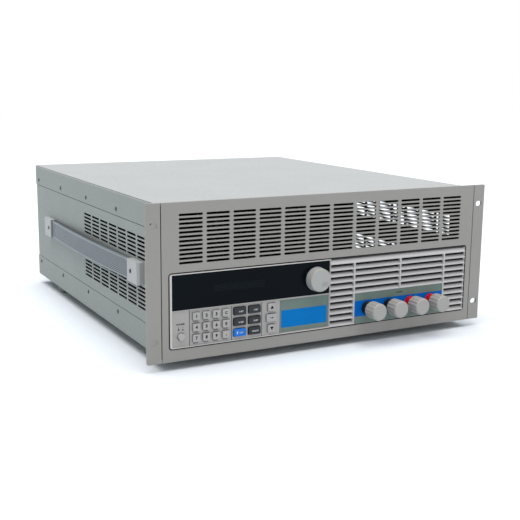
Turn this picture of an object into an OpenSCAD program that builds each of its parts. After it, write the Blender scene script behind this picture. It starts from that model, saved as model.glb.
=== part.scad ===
// Rack-mount DC electronic load: a sheet-metal case with a moulded control fascia, a louvred
// air-intake grille, four hand-screw input terminals and two strap handles.
// Local frame of the modules: x to the right, y = 0 on the front panel's face and growing to the
// rear, z = 0 on the surface that the feet stand on. place() moves it all to the part's origin.

/* [Rack panel] */
// Width of each rack ear, from the seam to its outer edge
ear_w = 17.9; // [15:0.1:22]
// Height of the front panel and the ears
panel_h = 183.4; // [172:0.1:200]
// Thickness of the front panel and the ears
panel_t = 3; // [2:0.1:4]
// Gap at the seams between sheet pieces
seam = 0.7; // [0.2:0.05:0.8]
// Gap between the front panel and each ear
ear_seam = 1.1; // [0.4:0.05:1.2]
// Corner radius of the ears
ear_corner_r = 1.2; // [0.8:0.1:5]
// Depth of the flange that screws each ear to the side
ear_flange_d = 35; // [28:1:41]
// Distance from an ear's outer edge to its rack slots
rack_slot_inset = 8.75; // [7:0.05:10]
// Distance between the rack slots up the panel
rack_pitch_z = 133.35; // [110:0.05:150]
// Length of each rack slot
rack_slot_l = 10; // [7.5:0.1:11]
// Width of each rack slot
rack_slot_h = 7; // [5:0.1:7.4]

/* [Case] */
// Width of the case and the front panel
body_w = 446.8; // [440:0.1:470]
// Depth of the case behind the front panel's face
body_d = 526.6; // [500:0.1:600]
// Thickness of the sheet metal
sheet_t = 1.5; // [1.2:0.1:2]
// Outside bend radius of the covers
bend_r = 2.4; // [2.2:0.1:4]
// Drop from the panel's top edge to the top cover
top_drop = 2.8; // [0.5:0.1:5]
// Rise from the panel's bottom edge to the bottom cover
bottom_rise = 3.4; // [0.5:0.1:5]
// Height of the top cover's side lips
top_lip = 30.1; // [24:0.1:36]
// Height of the bottom cover's side lips
bottom_lip = 31.8; // [24:0.1:36]
// How far the covers overhang the rear panel
rear_recess = 2; // [0:0.1:6]
// Width of the side panels' inward flanges, front
front_return = 4.6; // [3:0.1:5]
// Width of the side panels' inward flanges, rear
rear_return = 16; // [12:0.5:20]

/* [Feet] */
// Height of the feet below the bottom cover
foot_h = 14; // [8:0.5:25]
// Radius of a foot at the cover
foot_r = 14; // [10:0.5:18]
// How much a foot tapers in towards the floor
foot_taper = 2; // [0:0.1:4]
// Distance from the case's side to a foot's centre
foot_inset = 20.4; // [18:0.1:40]
// Distance from the panel's face to the front feet
foot_front = 70; // [40:1:120]
// Distance from the case's rear to the rear feet
foot_rear = 86; // [40:1:140]

/* [Vents] */
// Length of a vent slot
vent_l = 29.5; // [20:0.1:31]
// Height of a vent slot
vent_h = 2.8; // [2:0.1:3.4]
// Distance between columns of front slots
vent_pitch_x = 34; // [33:0.1:40]
// Distance between rows of front slots
vent_pitch_z = 4.98; // [4.6:0.02:7]
// Smallest distance from the panel's side edge to a slot
vent_edge = 21; // [16:0.5:30]
// Distance from the panel's top edge to the first row
vent_top = 14.5; // [9:0.5:20]
// Smallest distance from the fascia's opening to the last row
vent_fascia_gap = 9; // [5:0.5:14]
// Distance between columns of side slots
side_vent_pitch_y = 33.85; // [33:0.05:40]
// Distance between rows of side slots
side_vent_pitch_z = 4.95; // [4.6:0.05:6]
// Columns of side slots
side_vent_cols = 7; // [3:1:7]
// Rows of slots in each of the two side groups
side_vent_rows = 6; // [2:1:6]
// Distance from the panel's face to the first side column
side_vent_front = 59.6; // [58.5:0.1:70]
// Distance from the handle's middle to the middle of each side group
side_vent_offset = 29.75; // [28.5:0.05:32]
// Length of a rear outlet slot
rear_vent_l = 62; // [40:1:66]
// Height of a rear outlet slot
rear_vent_h = 4; // [2.5:0.1:5]
// Distance between rows of rear outlet slots
rear_vent_pitch = 8; // [7:0.1:12]

/* [Fascia] */
// Distance from the case's side to the fascia
fascia_inset = 9.9; // [8:0.1:13]
// Distance from the panel's bottom edge to the fascia
fascia_rise = 15.4; // [12:0.1:20]
// Gap around the fascia in the panel's opening
fascia_gap = 1.5; // [0.4:0.05:1.5]
// Corner radius of the fascia
fascia_corner_r = 2.5; // [1:0.1:5]
// How far the fascia stands proud of the panel
fascia_proud = 0.8; // [0.4:0.05:2]
// How far the fascia's hidden flange laps behind the panel
fascia_lap = 2.8; // [1.6:0.1:3]
// Thickness of the hidden flange
fascia_flange_t = 2; // [1.5:0.1:3]
// Width of the rim at the top and bottom
rim_w = 1.1; // [0.8:0.1:2]
// Width of the rim at the left
side_rim_w = 2.4; // [1.5:0.1:4]
// Width of the rib under the window and beside the grille
rib_w = 1.2; // [0.8:0.1:2]
// Height of the display window
window_h = 41.3; // [38:0.1:45]
// Thickness of the display window
window_t = 2; // [1.5:0.1:3]
// Width of the display behind the window
display_w = 112; // [90:1:130]
// Height of the display behind the window
display_h = 30; // [20:0.5:34]
// How far the window sits behind the rim
window_recess = 0.4; // [0.2:0.05:0.8]
// Width of the ledge that the window is bonded to
window_ledge = 1.5; // [1:0.1:3]
// Height of the key deck
deck_h = 42; // [41:0.1:46]
// Thickness of the key deck
deck_t = 2.5; // [2:0.1:3.5]
// How far the key deck sits behind the rim
deck_recess = 0.8; // [0.4:0.05:1.2]
// Depth of the label field in the deck
label_recess = 0.5; // [0.2:0.05:1]

/* [Keys] */
// Width of the power button's zone
power_zone_w = 21.6; // [20:0.1:24]
// Width of the number keys' zone
number_zone_w = 53.9; // [51:0.1:56]
// Width of the function keys' zone
function_zone_w = 40; // [39:0.1:43]
// Width of the arrow keys' zone
arrow_zone_w = 25.2; // [20:0.1:28]
// Size of a number key
number_key = 8.6; // [7:0.1:9.4]
// Distance between number key columns
number_pitch = 12.6; // [12.3:0.1:13.4]
// Distance between key rows
row_pitch = 13; // [12.7:0.1:13.4]
// How far the key rows sit above the deck's middle
row_lift = 0.6; // [-1:0.1:1.5]
// Width of a function key
function_key_w = 15.6; // [12:0.1:16.4]
// Height of a function key
function_key_h = 9; // [7:0.1:9.4]
// Distance between function key columns
function_pitch = 19.6; // [19.2:0.1:20.6]
// Width of the up and down keys
arrow_key_w = 9.8; // [7:0.1:12]
// Width of the enter key
enter_key_w = 13.4; // [9:0.1:15]
// How far the keys stand above the deck
key_rise = 2.4; // [1.6:0.1:4]
// Travel of a key
key_travel = 1.2; // [0.8:0.1:2]
// Clearance around a key in the deck
key_gap = 0.55; // [0.3:0.05:0.6]
// How far a key's hidden flange laps behind the deck
key_lap = 0.7; // [0.6:0.05:1]
// Thickness of a key's hidden flange
key_flange_t = 1; // [0.8:0.1:1.5]
// Float between a key's flange and the deck
key_float = 0.4; // [0.3:0.05:0.6]
// Radius of a key's contact stem
key_stem_r = 2; // [1.5:0.1:2.5]
// Thickness of the rubber key mat
mat_t = 1.5; // [1:0.1:2.5]
// Height of the mat's domes
dome_h = 0.7; // [0.5:0.05:1]
// Radius of the power button
power_r = 4; // [3:0.1:5]
// How far the power button stands above the deck
power_rise = 4.2; // [3.6:0.1:6]
// Travel of the power button
power_travel = 3.2; // [2:0.1:3.4]
// Height of the power button above the deck's lower edge
power_lift = 12.4; // [9:0.1:16]

/* [Encoder] */
// Distance from the window's right edge to the encoder's axis
encoder_inset = 19.2; // [17:0.1:26]
// Rear radius of the encoder knob
knob_r = 15; // [12:0.1:16.5]
// How much the knob tapers towards its face
knob_taper = 0.8; // [0:0.1:2]
// Length of the knob
knob_l = 11; // [8:0.1:18]
// Gap between the knob and the window
knob_gap = 0.9; // [0.5:0.1:2]
// Radius of the encoder's spindle
spindle_r = 3; // [2:0.1:3.2]
// Running clearance around the spindle
spindle_clear = 0.06; // [0.02:0.01:0.1]
// Radius of the finger dimple's ball
dimple_ball_r = 6.5; // [5:0.1:9]
// Distance from the knob's axis to the finger dimple
dimple_offset = 8.6; // [6:0.1:9.4]

/* [Grille] */
// Distance between louvre slats
slat_pitch = 7.9; // [7:0.1:9]
// Rise of a slat from its nose to its rear edge
slat_rise = 4.9; // [3.5:0.05:5.5]
// Depth of a slat from its nose to its rear edge
slat_depth = 4.2; // [3.5:0.1:6]
// Thickness of a slat, front to rear
slat_t = 1.6; // [1.2:0.1:2.2]
// Height of a slat's nose
slat_nose = 0.9; // [0.5:0.1:1.4]
// Width of the upright dividers
divider_w = 2.2; // [1.5:0.1:3]
// Distance between the outer dividers
field_w = 141.9; // [130:0.1:160]
// Slat rows that the terminal field takes up
field_rows = 5; // [5:1:6]
// How far the terminal field sits behind the grille's face
field_recess = 0.6; // [0.2:0.05:1.2]
// Thickness of the terminal field
field_t = 3; // [2:0.1:4]
// Thickness of the intake filter
filter_t = 3; // [2:0.1:3.3]

/* [Terminals] */
// Distance between terminals
terminal_pitch = 33.5; // [30:0.1:36]
// Height of the terminals above the fascia's bottom
terminal_lift = 19.2; // [16:0.1:22]
// Radius of a terminal's collar
collar_r = 8.5; // [8:0.1:13]
// Length of a collar
collar_l = 10.5; // [5:0.1:12]
// Radius of a collar's neck through the field
collar_neck_r = 6; // [5.2:0.1:7]
// Radius of a terminal stud
stud_r = 4; // [3:0.1:4.5]
// Running clearance of a cap on its stud
stud_clear = 0.06; // [0.02:0.01:0.1]
// Radius of a terminal cap
cap_r = 10.9; // [9:0.1:13]
// Length of a terminal cap
cap_l = 18; // [17:0.1:26]
// Flutes around a terminal cap
cap_flutes = 14; // [6:1:16]
// Depth of a cap's flutes
flute_depth = 0.6; // [0.3:0.1:1]
// Radius of the captive washer
washer_r = 7; // [6:0.1:7.6]
// Thickness of the captive washer
washer_t = 1.5; // [1:0.1:2]
// Gap between a closed cap and its collar
cap_gap = 0.3; // [0.2:0.05:0.5]
// How far a cap unscrews
cap_travel = 7.5; // [5:0.5:9]

/* [Handles] */
// Height of the handles' middle above the panel's bottom edge
handle_rise = 93.5; // [88:0.1:98]
// Distance from the panel's face to the handles' front ends
handle_front = 54.5; // [50:0.1:60]
// Length of a handle over its end caps
handle_l = 401; // [380:1:410]
// Length of an end cap
grip_cap_l = 34.5; // [28:0.1:40]
// Height of an end cap
grip_cap_h = 27; // [24:0.1:28]
// How far an end cap stands out from the side
grip_cap_p = 7.8; // [7.6:0.1:10]
// Chamfer on an end cap's outer end
grip_cap_chamfer = 3; // [1:0.1:5]
// Wall of an end cap over the strap
grip_cap_wall = 1.6; // [1.2:0.1:1.7]
// Width of the strap
strap_w = 24.6; // [20:0.1:25]
// Thickness of the strap
strap_t = 3.6; // [2.5:0.1:3.7]
// Gap behind the middle of the strap
strap_gap = 6.6; // [6:0.1:9]
// Gap behind the ends of the strap
strap_end_gap = 0.6; // [0.4:0.05:0.8]
// Ribs along the strap
strap_ribs = 8; // [5:1:11]
// Depth of the grooves between the ribs
strap_groove = 0.8; // [0.3:0.05:0.9]
// Width of the strap's plain borders
strap_border = 3.2; // [1:0.1:4]

/* [Screws] */
// Radius of a countersunk head
screw_head_r = 3; // [2.5:0.1:3.5]
// Height of a countersunk head
screw_head_h = 1.1; // [0.8:0.1:1.1]
// Radius of a screw's shank
screw_r = 1.5; // [1:0.1:2]
// Length of a screw
screw_l = 7; // [5:0.1:9]
// Clearance around a screw
screw_clear = 0.1; // [0.05:0.01:0.2]
// Distance from a lip's free edge to its screws
lip_screw_inset = 7.9; // [6:0.1:14]
// Distance from the case's rear to the last lip screw
lip_screw_rear = 17; // [12:0.5:24]
// Distance between the lip screws
lip_screw_pitch = 121; // [100:1:124]
// Distance from the panel's face to the ears' screws
ear_screw_y = 24; // [18:0.5:26]
// Distance between the rear panel's screws
rear_screw_pitch = 60; // [40:1:64]

/* [Power stage] */
// Space above the heat sinks for the control board
board_space = 24.2; // [22:0.1:30]
// Space beside the heat sinks for the mains inlet
side_bay = 67.9; // [58:0.1:75]
// Gap between the two heat sinks
sink_gap = 8; // [4:0.1:14]
// Length of a heat sink
sink_l = 178; // [140:1:186]
// Gap between the heat sinks and the rear panel
sink_rear_gap = 8; // [4:0.5:20]
// Height of the tunnels above the bottom cover
sink_leg_h = 24.5; // [24:0.1:30]
// Wall of a heat sink
sink_wall = 5; // [4:0.1:8]
// Fins across a heat sink
sink_fins = 13; // [6:1:16]
// Thickness of a fin
fin_t = 2; // [1.5:0.1:3]
// Size of a cooling fan
fan_size = 120; // [92:1:120]
// Depth of a cooling fan
fan_d = 38; // [25:0.5:39]
// Wall of a fan's frame round its duct
fan_wall = 2.2; // [1.5:0.1:4]
// Radius of a fan's hub
fan_hub_r = 21; // [16:0.5:26]
// Blades on a rotor
fan_blades = 7; // [5:1:9]
// Gap between the blade tips and the duct
fan_tip_gap = 1.2; // [0.6:0.1:3]
// Radius of a fan's shaft
fan_shaft_r = 2; // [1.5:0.1:3]
// Running clearance on a fan's shaft
fan_clear = 0.05; // [0.02:0.01:0.1]
// Thickness of the circuit boards
board_t = 1.6; // [1.2:0.1:2.4]
// Width of a busbar
bar_w = 30; // [20:0.5:34]
// Thickness of a busbar
bar_t = 3; // [2:0.1:3.4]
// Width of a busbar's foot on a power board
bar_foot = 10; // [6:0.5:12]
// Distance from a power board's front to its first transistors
package_first = 48; // [40:1:60]
// Distance between rows of transistors
package_pitch = 30; // [20:1:40]
// Height of the mains inlet above the floor sheet
inlet_lift = 37; // [25:0.5:60]
// Distance from the side sheet to the mains transformer
transformer_side = 22; // [10:1:40]
// Distance from the front panel to the mains transformer
transformer_front = 130; // [100:1:150]
// Outer radius of the mains transformer
toroid_r = 45; // [30:0.5:50]
// Height of the mains transformer
toroid_h = 42; // [30:0.5:60]
// How far the transformer's bolt stands above it
toroid_bolt = 8; // [5:0.5:12]

/* [Hidden] */
$fn = 48;
// Overlap that keeps a cut clear of the face it leaves
cut = 1;

// Levels and half widths of the case
half_w = body_w / 2;
rack_w = body_w + 2 * ear_w;
panel_z = foot_h - bottom_rise;
panel_top = panel_z + panel_h;
case_bottom = foot_h;
case_top = panel_top - top_drop;
floor_z = case_bottom + sheet_t;
roof_z = case_top - sheet_t;
inner_w = half_w - sheet_t;
lip_top_z = case_top - top_lip;
lip_bottom_z = case_bottom + bottom_lip;
cover_front = panel_t + seam / 2;
rear_face = body_d - rear_recess;
rear_back = rear_face - sheet_t;

// Fascia
fascia_half = half_w - fascia_inset;
fascia_h = 2 * rim_w + rib_w + deck_h + window_h;
fascia_z = panel_z + fascia_rise;
fascia_top = fascia_z + fascia_h;
fascia_y = -fascia_proud;
fascia_back = panel_t + fascia_flange_t;
split = 0.1;
deck_left = -fascia_half + side_rim_w;
deck_right = -split - rib_w;
deck_z = fascia_z + rim_w;
deck_y = fascia_y + deck_recess;
deck_back = deck_y + deck_t;
window_z = deck_z + deck_h + rib_w;
window_y = fascia_y + window_recess;
window_back = window_y + window_t;
window_clear = 0.15;

// Keys
number_left = deck_left + power_zone_w;
function_left = number_left + number_zone_w;
arrow_left = function_left + function_zone_w;
label_left = arrow_left + arrow_zone_w;
number_x = (number_left + function_left) / 2;
function_x = (function_left + arrow_left) / 2;
arrow_x = (arrow_left + label_left) / 2;
row_z = deck_z + deck_h / 2 + row_lift;
key_flange_y = deck_back + key_float;
key_back = key_flange_y + key_flange_t;
dome_clear = 0.6;
board_y = key_back + key_travel + dome_clear + dome_h + mat_t;
stem_end = board_y - key_travel - 0.1;
power_x = deck_left + power_zone_w / 2;
power_z = deck_z + power_lift;
key_corner_r = 1;
groove_w = 0.8;
groove_d = 0.6;

// Each key: name, x, z, width, height
number_names = [
  ["key_1", "key_2", "key_3", "key_escape"],
  ["key_4", "key_5", "key_6", "key_0"],
  ["key_7", "key_8", "key_9", "key_point"]
];
function_names = [["key_amps", "key_volts"], ["key_watts", "key_ohms"], ["key_shift", "key_on_off"]];
arrow_names = ["key_up", "key_enter", "key_down"];
function row_at(row) = row_z + (1 - row) * row_pitch;
KEYS = concat(
  [for (row = [0:2], col = [0:3])
    [number_names[row][col], number_x + (col - 1.5) * number_pitch, row_at(row), number_key, number_key]],
  [for (row = [0:2], col = [0:1])
    [function_names[row][col], function_x + (col - 0.5) * function_pitch, row_at(row),
     function_key_w, function_key_h]],
  [for (row = [0:2])
    [arrow_names[row], arrow_x, row_at(row), row == 1 ? enter_key_w : arrow_key_w, function_key_h]]
);

// Encoder
encoder_x = deck_right - encoder_inset;
encoder_z = window_z + window_h / 2 - 0.7;
knob_back = window_y - knob_gap;
knob_front = knob_back - knob_l;
bushing_r = spindle_r + 0.8;
encoder_body = 14;
encoder_y = board_y - 4.6;
display_x = (deck_left + encoder_x - knob_r) / 2;
display_z = window_z + window_h / 2;

// Grille and terminals
grille_mid = (split + fascia_half) / 2;
slat_z = fascia_z + 0.26;
slat_count = floor((fascia_h - slat_rise) / slat_pitch) + 1;
slat_rear = fascia_y + slat_depth + slat_t;
grille_back = max(fascia_back, slat_rear);
field_y = fascia_y + field_recess;
field_back = field_y + field_t;
field_top = slat_z + field_rows * slat_pitch;
field_left = grille_mid - field_w / 2;
field_right = grille_mid + field_w / 2;
terminal_z = fascia_z + terminal_lift;
TERMINALS = [for (i = [0:3]) grille_mid + (i - 1.5) * terminal_pitch];
collar_front = field_y - collar_l;
washer_front = collar_front - washer_t;
cap_back = collar_front - cap_gap;
cap_front = cap_back - cap_l;
stud_front = cap_front + 4;
nut_l = 6;
nut_r = 1.9 * stud_r;
bar_y = field_back + nut_l;

// Handles
handle_z = panel_z + handle_rise;
handle_mid = handle_front + handle_l / 2;
grip_end = 6;
strap_l = handle_l - 2 * grip_end;
strap_bow = strap_gap - strap_end_gap;
strap_bend_r = (strap_l * strap_l / 4 + strap_bow * strap_bow) / (2 * strap_bow);
grip_screw_y = grip_cap_l - 11;

// Screws
LIP_SCREWS_Y = [for (i = [0:3]) body_d - lip_screw_rear - i * lip_screw_pitch];
LIP_SCREWS_Z = [lip_top_z + lip_screw_inset, lip_bottom_z - lip_screw_inset];
EAR_SCREWS_Z = concat(LIP_SCREWS_Z, [(lip_top_z + lip_bottom_z) / 2]);
rear_screw_x = inner_w - rear_return / 2;
REAR_SCREWS_Z = [for (i = [-1:1]) (case_top + case_bottom) / 2 + i * rear_screw_pitch];

// Power stage
sink_w = inner_w - sink_gap / 2 - side_bay;
sink_x = sink_gap / 2 + sink_w / 2;
sink_top = roof_z - board_space;
sink_back = rear_back - sink_rear_gap;
sink_front = sink_back - sink_l;
tunnel_z = floor_z + sink_leg_h;
tunnel_h = sink_top - tunnel_z;
fan_z = tunnel_z + 2.5 + fan_size / 2;
fan_back = sink_front;
fan_front = fan_back - fan_d;
duct_r = fan_size / 2 - fan_wall;
rotor_back = fan_back - 8;
rotor_front = fan_front + 3;
power_board_z = floor_z + 9.5;
power_board_top = power_board_z + board_t;
package_h = tunnel_z - power_board_top;
control_z = sink_top + 8;
bar_low_z = power_board_top + 1;
bar_high_z = bar_low_z + bar_t + 3;
cross_y = fan_front + 4;
cross_w = 20;
branch_end = sink_front + 14;
inlet_x = half_w - side_bay / 2 - sheet_t;
inlet_z = floor_z + inlet_lift;
inlet_w = 27.6;
inlet_h = 20;
inlet_flange_t = 2.6;
inlet_flange_w = 50;
serial_x = -sink_x;
serial_w = 31;
serial_h = 12.4;
serial_proud = 6;
serial_top_w = 18.4;
serial_low_w = 15.2;
serial_mouth_h = 8.4;
connector_d = 10;
connector_z = control_z + board_t;
serial_z = connector_z + serial_h / 2;
block_x = sink_x;
block_w = 42;
block_h = 13;

// The part's origin lies under the middle of its length
y_first = cap_front;
y_last = rear_face + serial_proud;
y_origin = (y_first + y_last) / 2;

// Shared shapes

module place() {
  translate([0, -y_origin, 0]) children();
}

// Extrude an x-z outline along y
module along_y(y0, y1) {
  translate([0, y1, 0]) rotate([90, 0, 0]) linear_extrude(y1 - y0) children();
}

// Extrude a y-z outline along x
module along_x(x0, x1) {
  translate([x0, 0, 0]) rotate([90, 0, 90]) linear_extrude(x1 - x0) children();
}

module rod_y(x, z, r, y0, y1) {
  translate([x, 0, z]) along_y(y0, y1) circle(r);
}

module rod_x(y, z, r, x0, x1) {
  translate([0, y, z]) along_x(x0, x1) circle(r);
}

module block(x0, x1, y0, y1, z0, z1) {
  translate([x0, y0, z0]) cube([x1 - x0, y1 - y0, z1 - z0]);
}

module both_sides() {
  children();
  mirror([1, 0, 0]) children();
}

// Rounded rectangle about the origin
module round_rect(w, h, r) {
  square([w - 2 * r, h], center = true);
  square([w, h - 2 * r], center = true);
  for (sx = [-1, 1], sz = [-1, 1]) translate([sx * (w / 2 - r), sz * (h / 2 - r)]) circle(r);
}

// Rounded rectangle between two corners
module round_span(x0, x1, z0, z1, r) {
  translate([(x0 + x1) / 2, (z0 + z1) / 2]) round_rect(x1 - x0, z1 - z0, r);
}

// Round-ended slot about the origin
module slot_outline(l, h) {
  square([l - h, h], center = true);
  for (s = [-1, 1]) translate([s * (l - h) / 2, 0]) circle(h / 2);
}

// Countersunk screw on the x axis, its head's face at x = 0 and its shank towards -x; grown by a
// clearance it is the cut for such a screw, which also runs out past the face
module screw_x(grow, length) {
  rotate([0, -90, 0]) union() {
    cylinder(h = screw_head_h, r1 = screw_head_r + grow, r2 = screw_r + grow);
    cylinder(h = length, r = screw_r + grow);
    if (grow > 0) translate([0, 0, -cut]) cylinder(h = cut, r = screw_head_r + grow);
  }
}

// Screws through the cover lips and the side panels
module lip_screws(grow) {
  for (y = LIP_SCREWS_Y, z = LIP_SCREWS_Z) translate([half_w, y, z]) screw_x(grow, screw_l);
}

// Screws that hold an ear's flange
module ear_screws(grow) {
  for (z = EAR_SCREWS_Z) translate([half_w + panel_t, ear_screw_y, z]) screw_x(grow, screw_l + panel_t);
}

// Screws through a handle's end caps
module handle_screws(grow) {
  for (y = [handle_front + grip_screw_y, handle_front + handle_l - grip_screw_y])
    translate([half_w + grip_cap_p, y, handle_z]) screw_x(grow, grip_cap_p + screw_l);
}

// Screws through the rear panel
module rear_screws(grow) {
  for (z = REAR_SCREWS_Z)
    translate([rear_screw_x, rear_face, z]) rotate([0, 0, 90]) screw_x(grow, screw_l);
}

// Case

module front_vents() {
  opening_top = fascia_top + fascia_gap;
  cols = floor((body_w - 2 * vent_edge - vent_l) / vent_pitch_x) + 1;
  rows = floor((panel_top - vent_top - opening_top - vent_fascia_gap) / vent_pitch_z) + 1;
  for (col = [0:cols - 1], row = [0:rows - 1])
    translate([(col - (cols - 1) / 2) * vent_pitch_x, 0, panel_top - vent_top - row * vent_pitch_z])
      along_y(-cut, panel_t + cut) slot_outline(vent_l, vent_h);
}

module front_panel() {
  color([0.56, 0.56, 0.55]) place() difference() {
    block(-half_w + ear_seam / 2, half_w - ear_seam / 2, 0, panel_t, panel_z, panel_top);
    along_y(-cut, panel_t + cut)
      round_span(-fascia_half - fascia_gap, fascia_half + fascia_gap, fascia_z - fascia_gap,
                 fascia_top + fascia_gap, fascia_corner_r + fascia_gap);
    front_vents();
  }
}

module rack_ear() {
  slot_x = rack_w / 2 - rack_slot_inset;
  difference() {
    union() {
      along_y(0, panel_t) {
        round_span(half_w + ear_seam / 2, rack_w / 2, panel_z, panel_top, ear_corner_r);
        translate([half_w + ear_seam / 2, panel_z]) square([ear_w / 2, panel_h]);
      }
      block(half_w + ear_seam / 2, half_w + panel_t, panel_t / 2, panel_t + ear_flange_d,
            case_bottom + bend_r, case_top - bend_r);
      block(half_w, half_w + panel_t, cover_front, panel_t + ear_flange_d,
            case_bottom + bend_r, case_top - bend_r);
    }
    for (s = [-1, 1])
      translate([slot_x, 0, panel_z + panel_h / 2 + s * rack_pitch_z / 2])
        along_y(-cut, panel_t + cut) slot_outline(rack_slot_l, rack_slot_h);
    ear_screws(screw_clear);
  }
}

module rack_ears() {
  color([0.57, 0.57, 0.56]) place() both_sides() rack_ear();
}

module side_vents() {
  for (group = [-1, 1], col = [0:side_vent_cols - 1], row = [0:side_vent_rows - 1])
    translate([0, side_vent_front + col * side_vent_pitch_y,
               handle_z + group * side_vent_offset + (row - (side_vent_rows - 1) / 2) * side_vent_pitch_z])
      along_x(half_w - sheet_t - cut, half_w + cut) slot_outline(vent_l, vent_h);
}

// Right-hand side panel: a flat middle, joggled in behind the covers' lips, with returns at both ends
module side_panel() {
  outer = half_w;
  mid = half_w - sheet_t;
  inner = half_w - 2 * sheet_t;
  low = lip_bottom_z + seam;
  high = lip_top_z - seam;
  top = roof_z - 2;
  bottom = floor_z + 2;
  front = panel_t;
  difference() {
    union() {
      along_y(front, rear_back)
        polygon([
          [outer, low], [outer, high], [mid, high], [mid, top], [inner, top], [inner, high - sheet_t],
          [mid, high - sheet_t], [mid, low + sheet_t], [inner, low + sheet_t], [inner, bottom],
          [mid, bottom], [mid, low]
        ]);
      block(mid - front_return, mid, front, front + sheet_t, low + sheet_t, high - sheet_t);
      block(mid - rear_return, mid, rear_back - sheet_t, rear_back, low + sheet_t, high - sheet_t);
      block(inner - rear_return + sheet_t, inner + sheet_t, rear_back - sheet_t, rear_back, bottom, top);
    }
    side_vents();
    lip_screws(screw_clear);
    ear_screws(screw_clear);
    handle_screws(screw_clear);
    rear_screws(screw_clear);
  }
}

module side_panels() {
  color([0.60, 0.63, 0.62]) place() both_sides() side_panel();
}

module rear_vents() {
  rows = floor((tunnel_h - 12) / rear_vent_pitch);
  for (side = [-1, 1], col = [-1, 1], row = [0:rows - 1])
    translate([side * sink_x + col * (rear_vent_l + 6) / 2, 0,
               tunnel_z + tunnel_h / 2 + (row - (rows - 1) / 2) * rear_vent_pitch])
      along_y(rear_back - cut, rear_face + cut) slot_outline(rear_vent_l, rear_vent_h);
}

module rear_panel() {
  fit = 0.3;
  color([0.58, 0.60, 0.59]) place() difference() {
    block(-inner_w + fit, inner_w - fit, rear_back, rear_face, floor_z + fit, roof_z - fit);
    rear_vents();
    block(inlet_x - inlet_w / 2 - fit, inlet_x + inlet_w / 2 + fit, rear_back - cut, rear_face + cut,
          inlet_z - inlet_h / 2 - fit, inlet_z + inlet_h / 2 + fit);
    block(serial_x - serial_w / 2 - fit, serial_x + serial_w / 2 + fit, rear_back - cut, rear_face + cut,
          connector_z - fit, connector_z + serial_h + fit);
    block(block_x - block_w / 2 - fit, block_x + block_w / 2 + fit, rear_back - cut, rear_face + cut,
          connector_z - fit, connector_z + block_h + fit);
    both_sides() rear_screws(screw_clear);
  }
}

// U-shaped outline of a cover, opening downwards from z = 0
module cover_outline(lip) {
  difference() {
    translate([0, -lip]) round_rect(body_w, 2 * lip, bend_r);
    translate([0, -lip - sheet_t]) round_rect(body_w - 2 * sheet_t, 2 * lip, bend_r - sheet_t);
    translate([-body_w, -3 * lip]) square([2 * body_w, 2 * lip]);
  }
}

module top_cover() {
  color([0.82, 0.83, 0.83]) place() difference() {
    translate([0, 0, case_top]) along_y(cover_front, body_d) cover_outline(top_lip);
    both_sides() lip_screws(screw_clear);
    both_sides() ear_screws(screw_clear);
  }
}

module bottom_cover() {
  stand_r = 3;
  color([0.60, 0.63, 0.62]) place() difference() {
    union() {
      translate([0, 0, case_bottom]) along_y(cover_front, body_d) mirror([0, 1]) cover_outline(bottom_lip);
      for (side = [-1, 1], sx = [-1, 1], y = [sink_front + 20, sink_back - 20])
        translate([side * sink_x + sx * (sink_w / 2 - sink_wall - 12), y, floor_z - sheet_t / 2])
          cylinder(h = power_board_z - floor_z + sheet_t / 2, r = stand_r);
    }
    both_sides() lip_screws(screw_clear);
    both_sides() ear_screws(screw_clear);
  }
}

module foot() {
  rim = 1;
  difference() {
    rotate_extrude() polygon([
      [0, 0], [foot_r - foot_taper - rim, 0], [foot_r - foot_taper, rim], [foot_r, foot_h], [0, foot_h]
    ]);
    translate([0, 0, -cut]) cylinder(h = foot_h * 0.6 + cut, r = foot_r * 0.35);
  }
}

module feet() {
  color([0.62, 0.63, 0.62]) place() for (sx = [-1, 1], y = [foot_front, body_d - foot_rear])
    translate([sx * (half_w - foot_inset), y, 0]) foot();
}

module case_screws() {
  color([0.62, 0.63, 0.64]) place() both_sides() {
    lip_screws(0);
    ear_screws(0);
    handle_screws(0);
    rear_screws(0);
  }
}

// Handles

// End cap on the right-hand side, its outer end at y = 0 and its mouth towards +y
module grip_cap() {
  pocket = grip_cap_p - grip_cap_wall;
  pocket_h = strap_w + 0.5;
  difference() {
    translate([half_w, 0, -grip_cap_h / 2]) linear_extrude(grip_cap_h) polygon([
      [0, 0], [grip_cap_p - grip_cap_chamfer, 0], [grip_cap_p, grip_cap_chamfer * 0.7],
      [grip_cap_p, grip_cap_l], [0, grip_cap_l]
    ]);
    block(half_w - cut, half_w + pocket, grip_end - 1, grip_cap_l + cut, -pocket_h / 2, pocket_h / 2);
  }
}

module handle_caps() {
  color([0.70, 0.71, 0.71]) place() both_sides() difference() {
    translate([0, handle_mid, handle_z]) {
      translate([0, -handle_l / 2, 0]) grip_cap();
      mirror([0, 1, 0]) translate([0, -handle_l / 2, 0]) grip_cap();
    }
    handle_screws(screw_clear);
  }
}

// Ribbed section of the strap: x away from the side, y across the width
module strap_outline() {
  ribbed_w = strap_w - 2 * strap_border;
  rib_pitch = ribbed_w / strap_ribs;
  difference() {
    translate([0, -strap_w / 2]) square([strap_t, strap_w]);
    for (i = [0:strap_ribs])
      translate([strap_t - strap_groove, -ribbed_w / 2 + i * rib_pitch - rib_pitch * 0.2])
        square([strap_groove + cut, rib_pitch * 0.4]);
  }
}

// Strap bowed away from the right-hand side, with a slot at each end round its screw
module handle_strap() {
  half_turn = asin(strap_l / 2 / strap_bend_r);
  difference() {
    translate([half_w + strap_gap - strap_bend_r, handle_mid, handle_z])
      rotate([0, 0, -half_turn]) rotate_extrude(angle = 2 * half_turn)
        translate([strap_bend_r, 0]) strap_outline();
    for (s = [-1, 1])
      translate([0, handle_mid + s * (handle_l / 2 - grip_screw_y), handle_z])
        along_x(half_w - cut, half_w + strap_gap + strap_t) slot_outline(16, 2 * screw_r + 1);
  }
}

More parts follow.
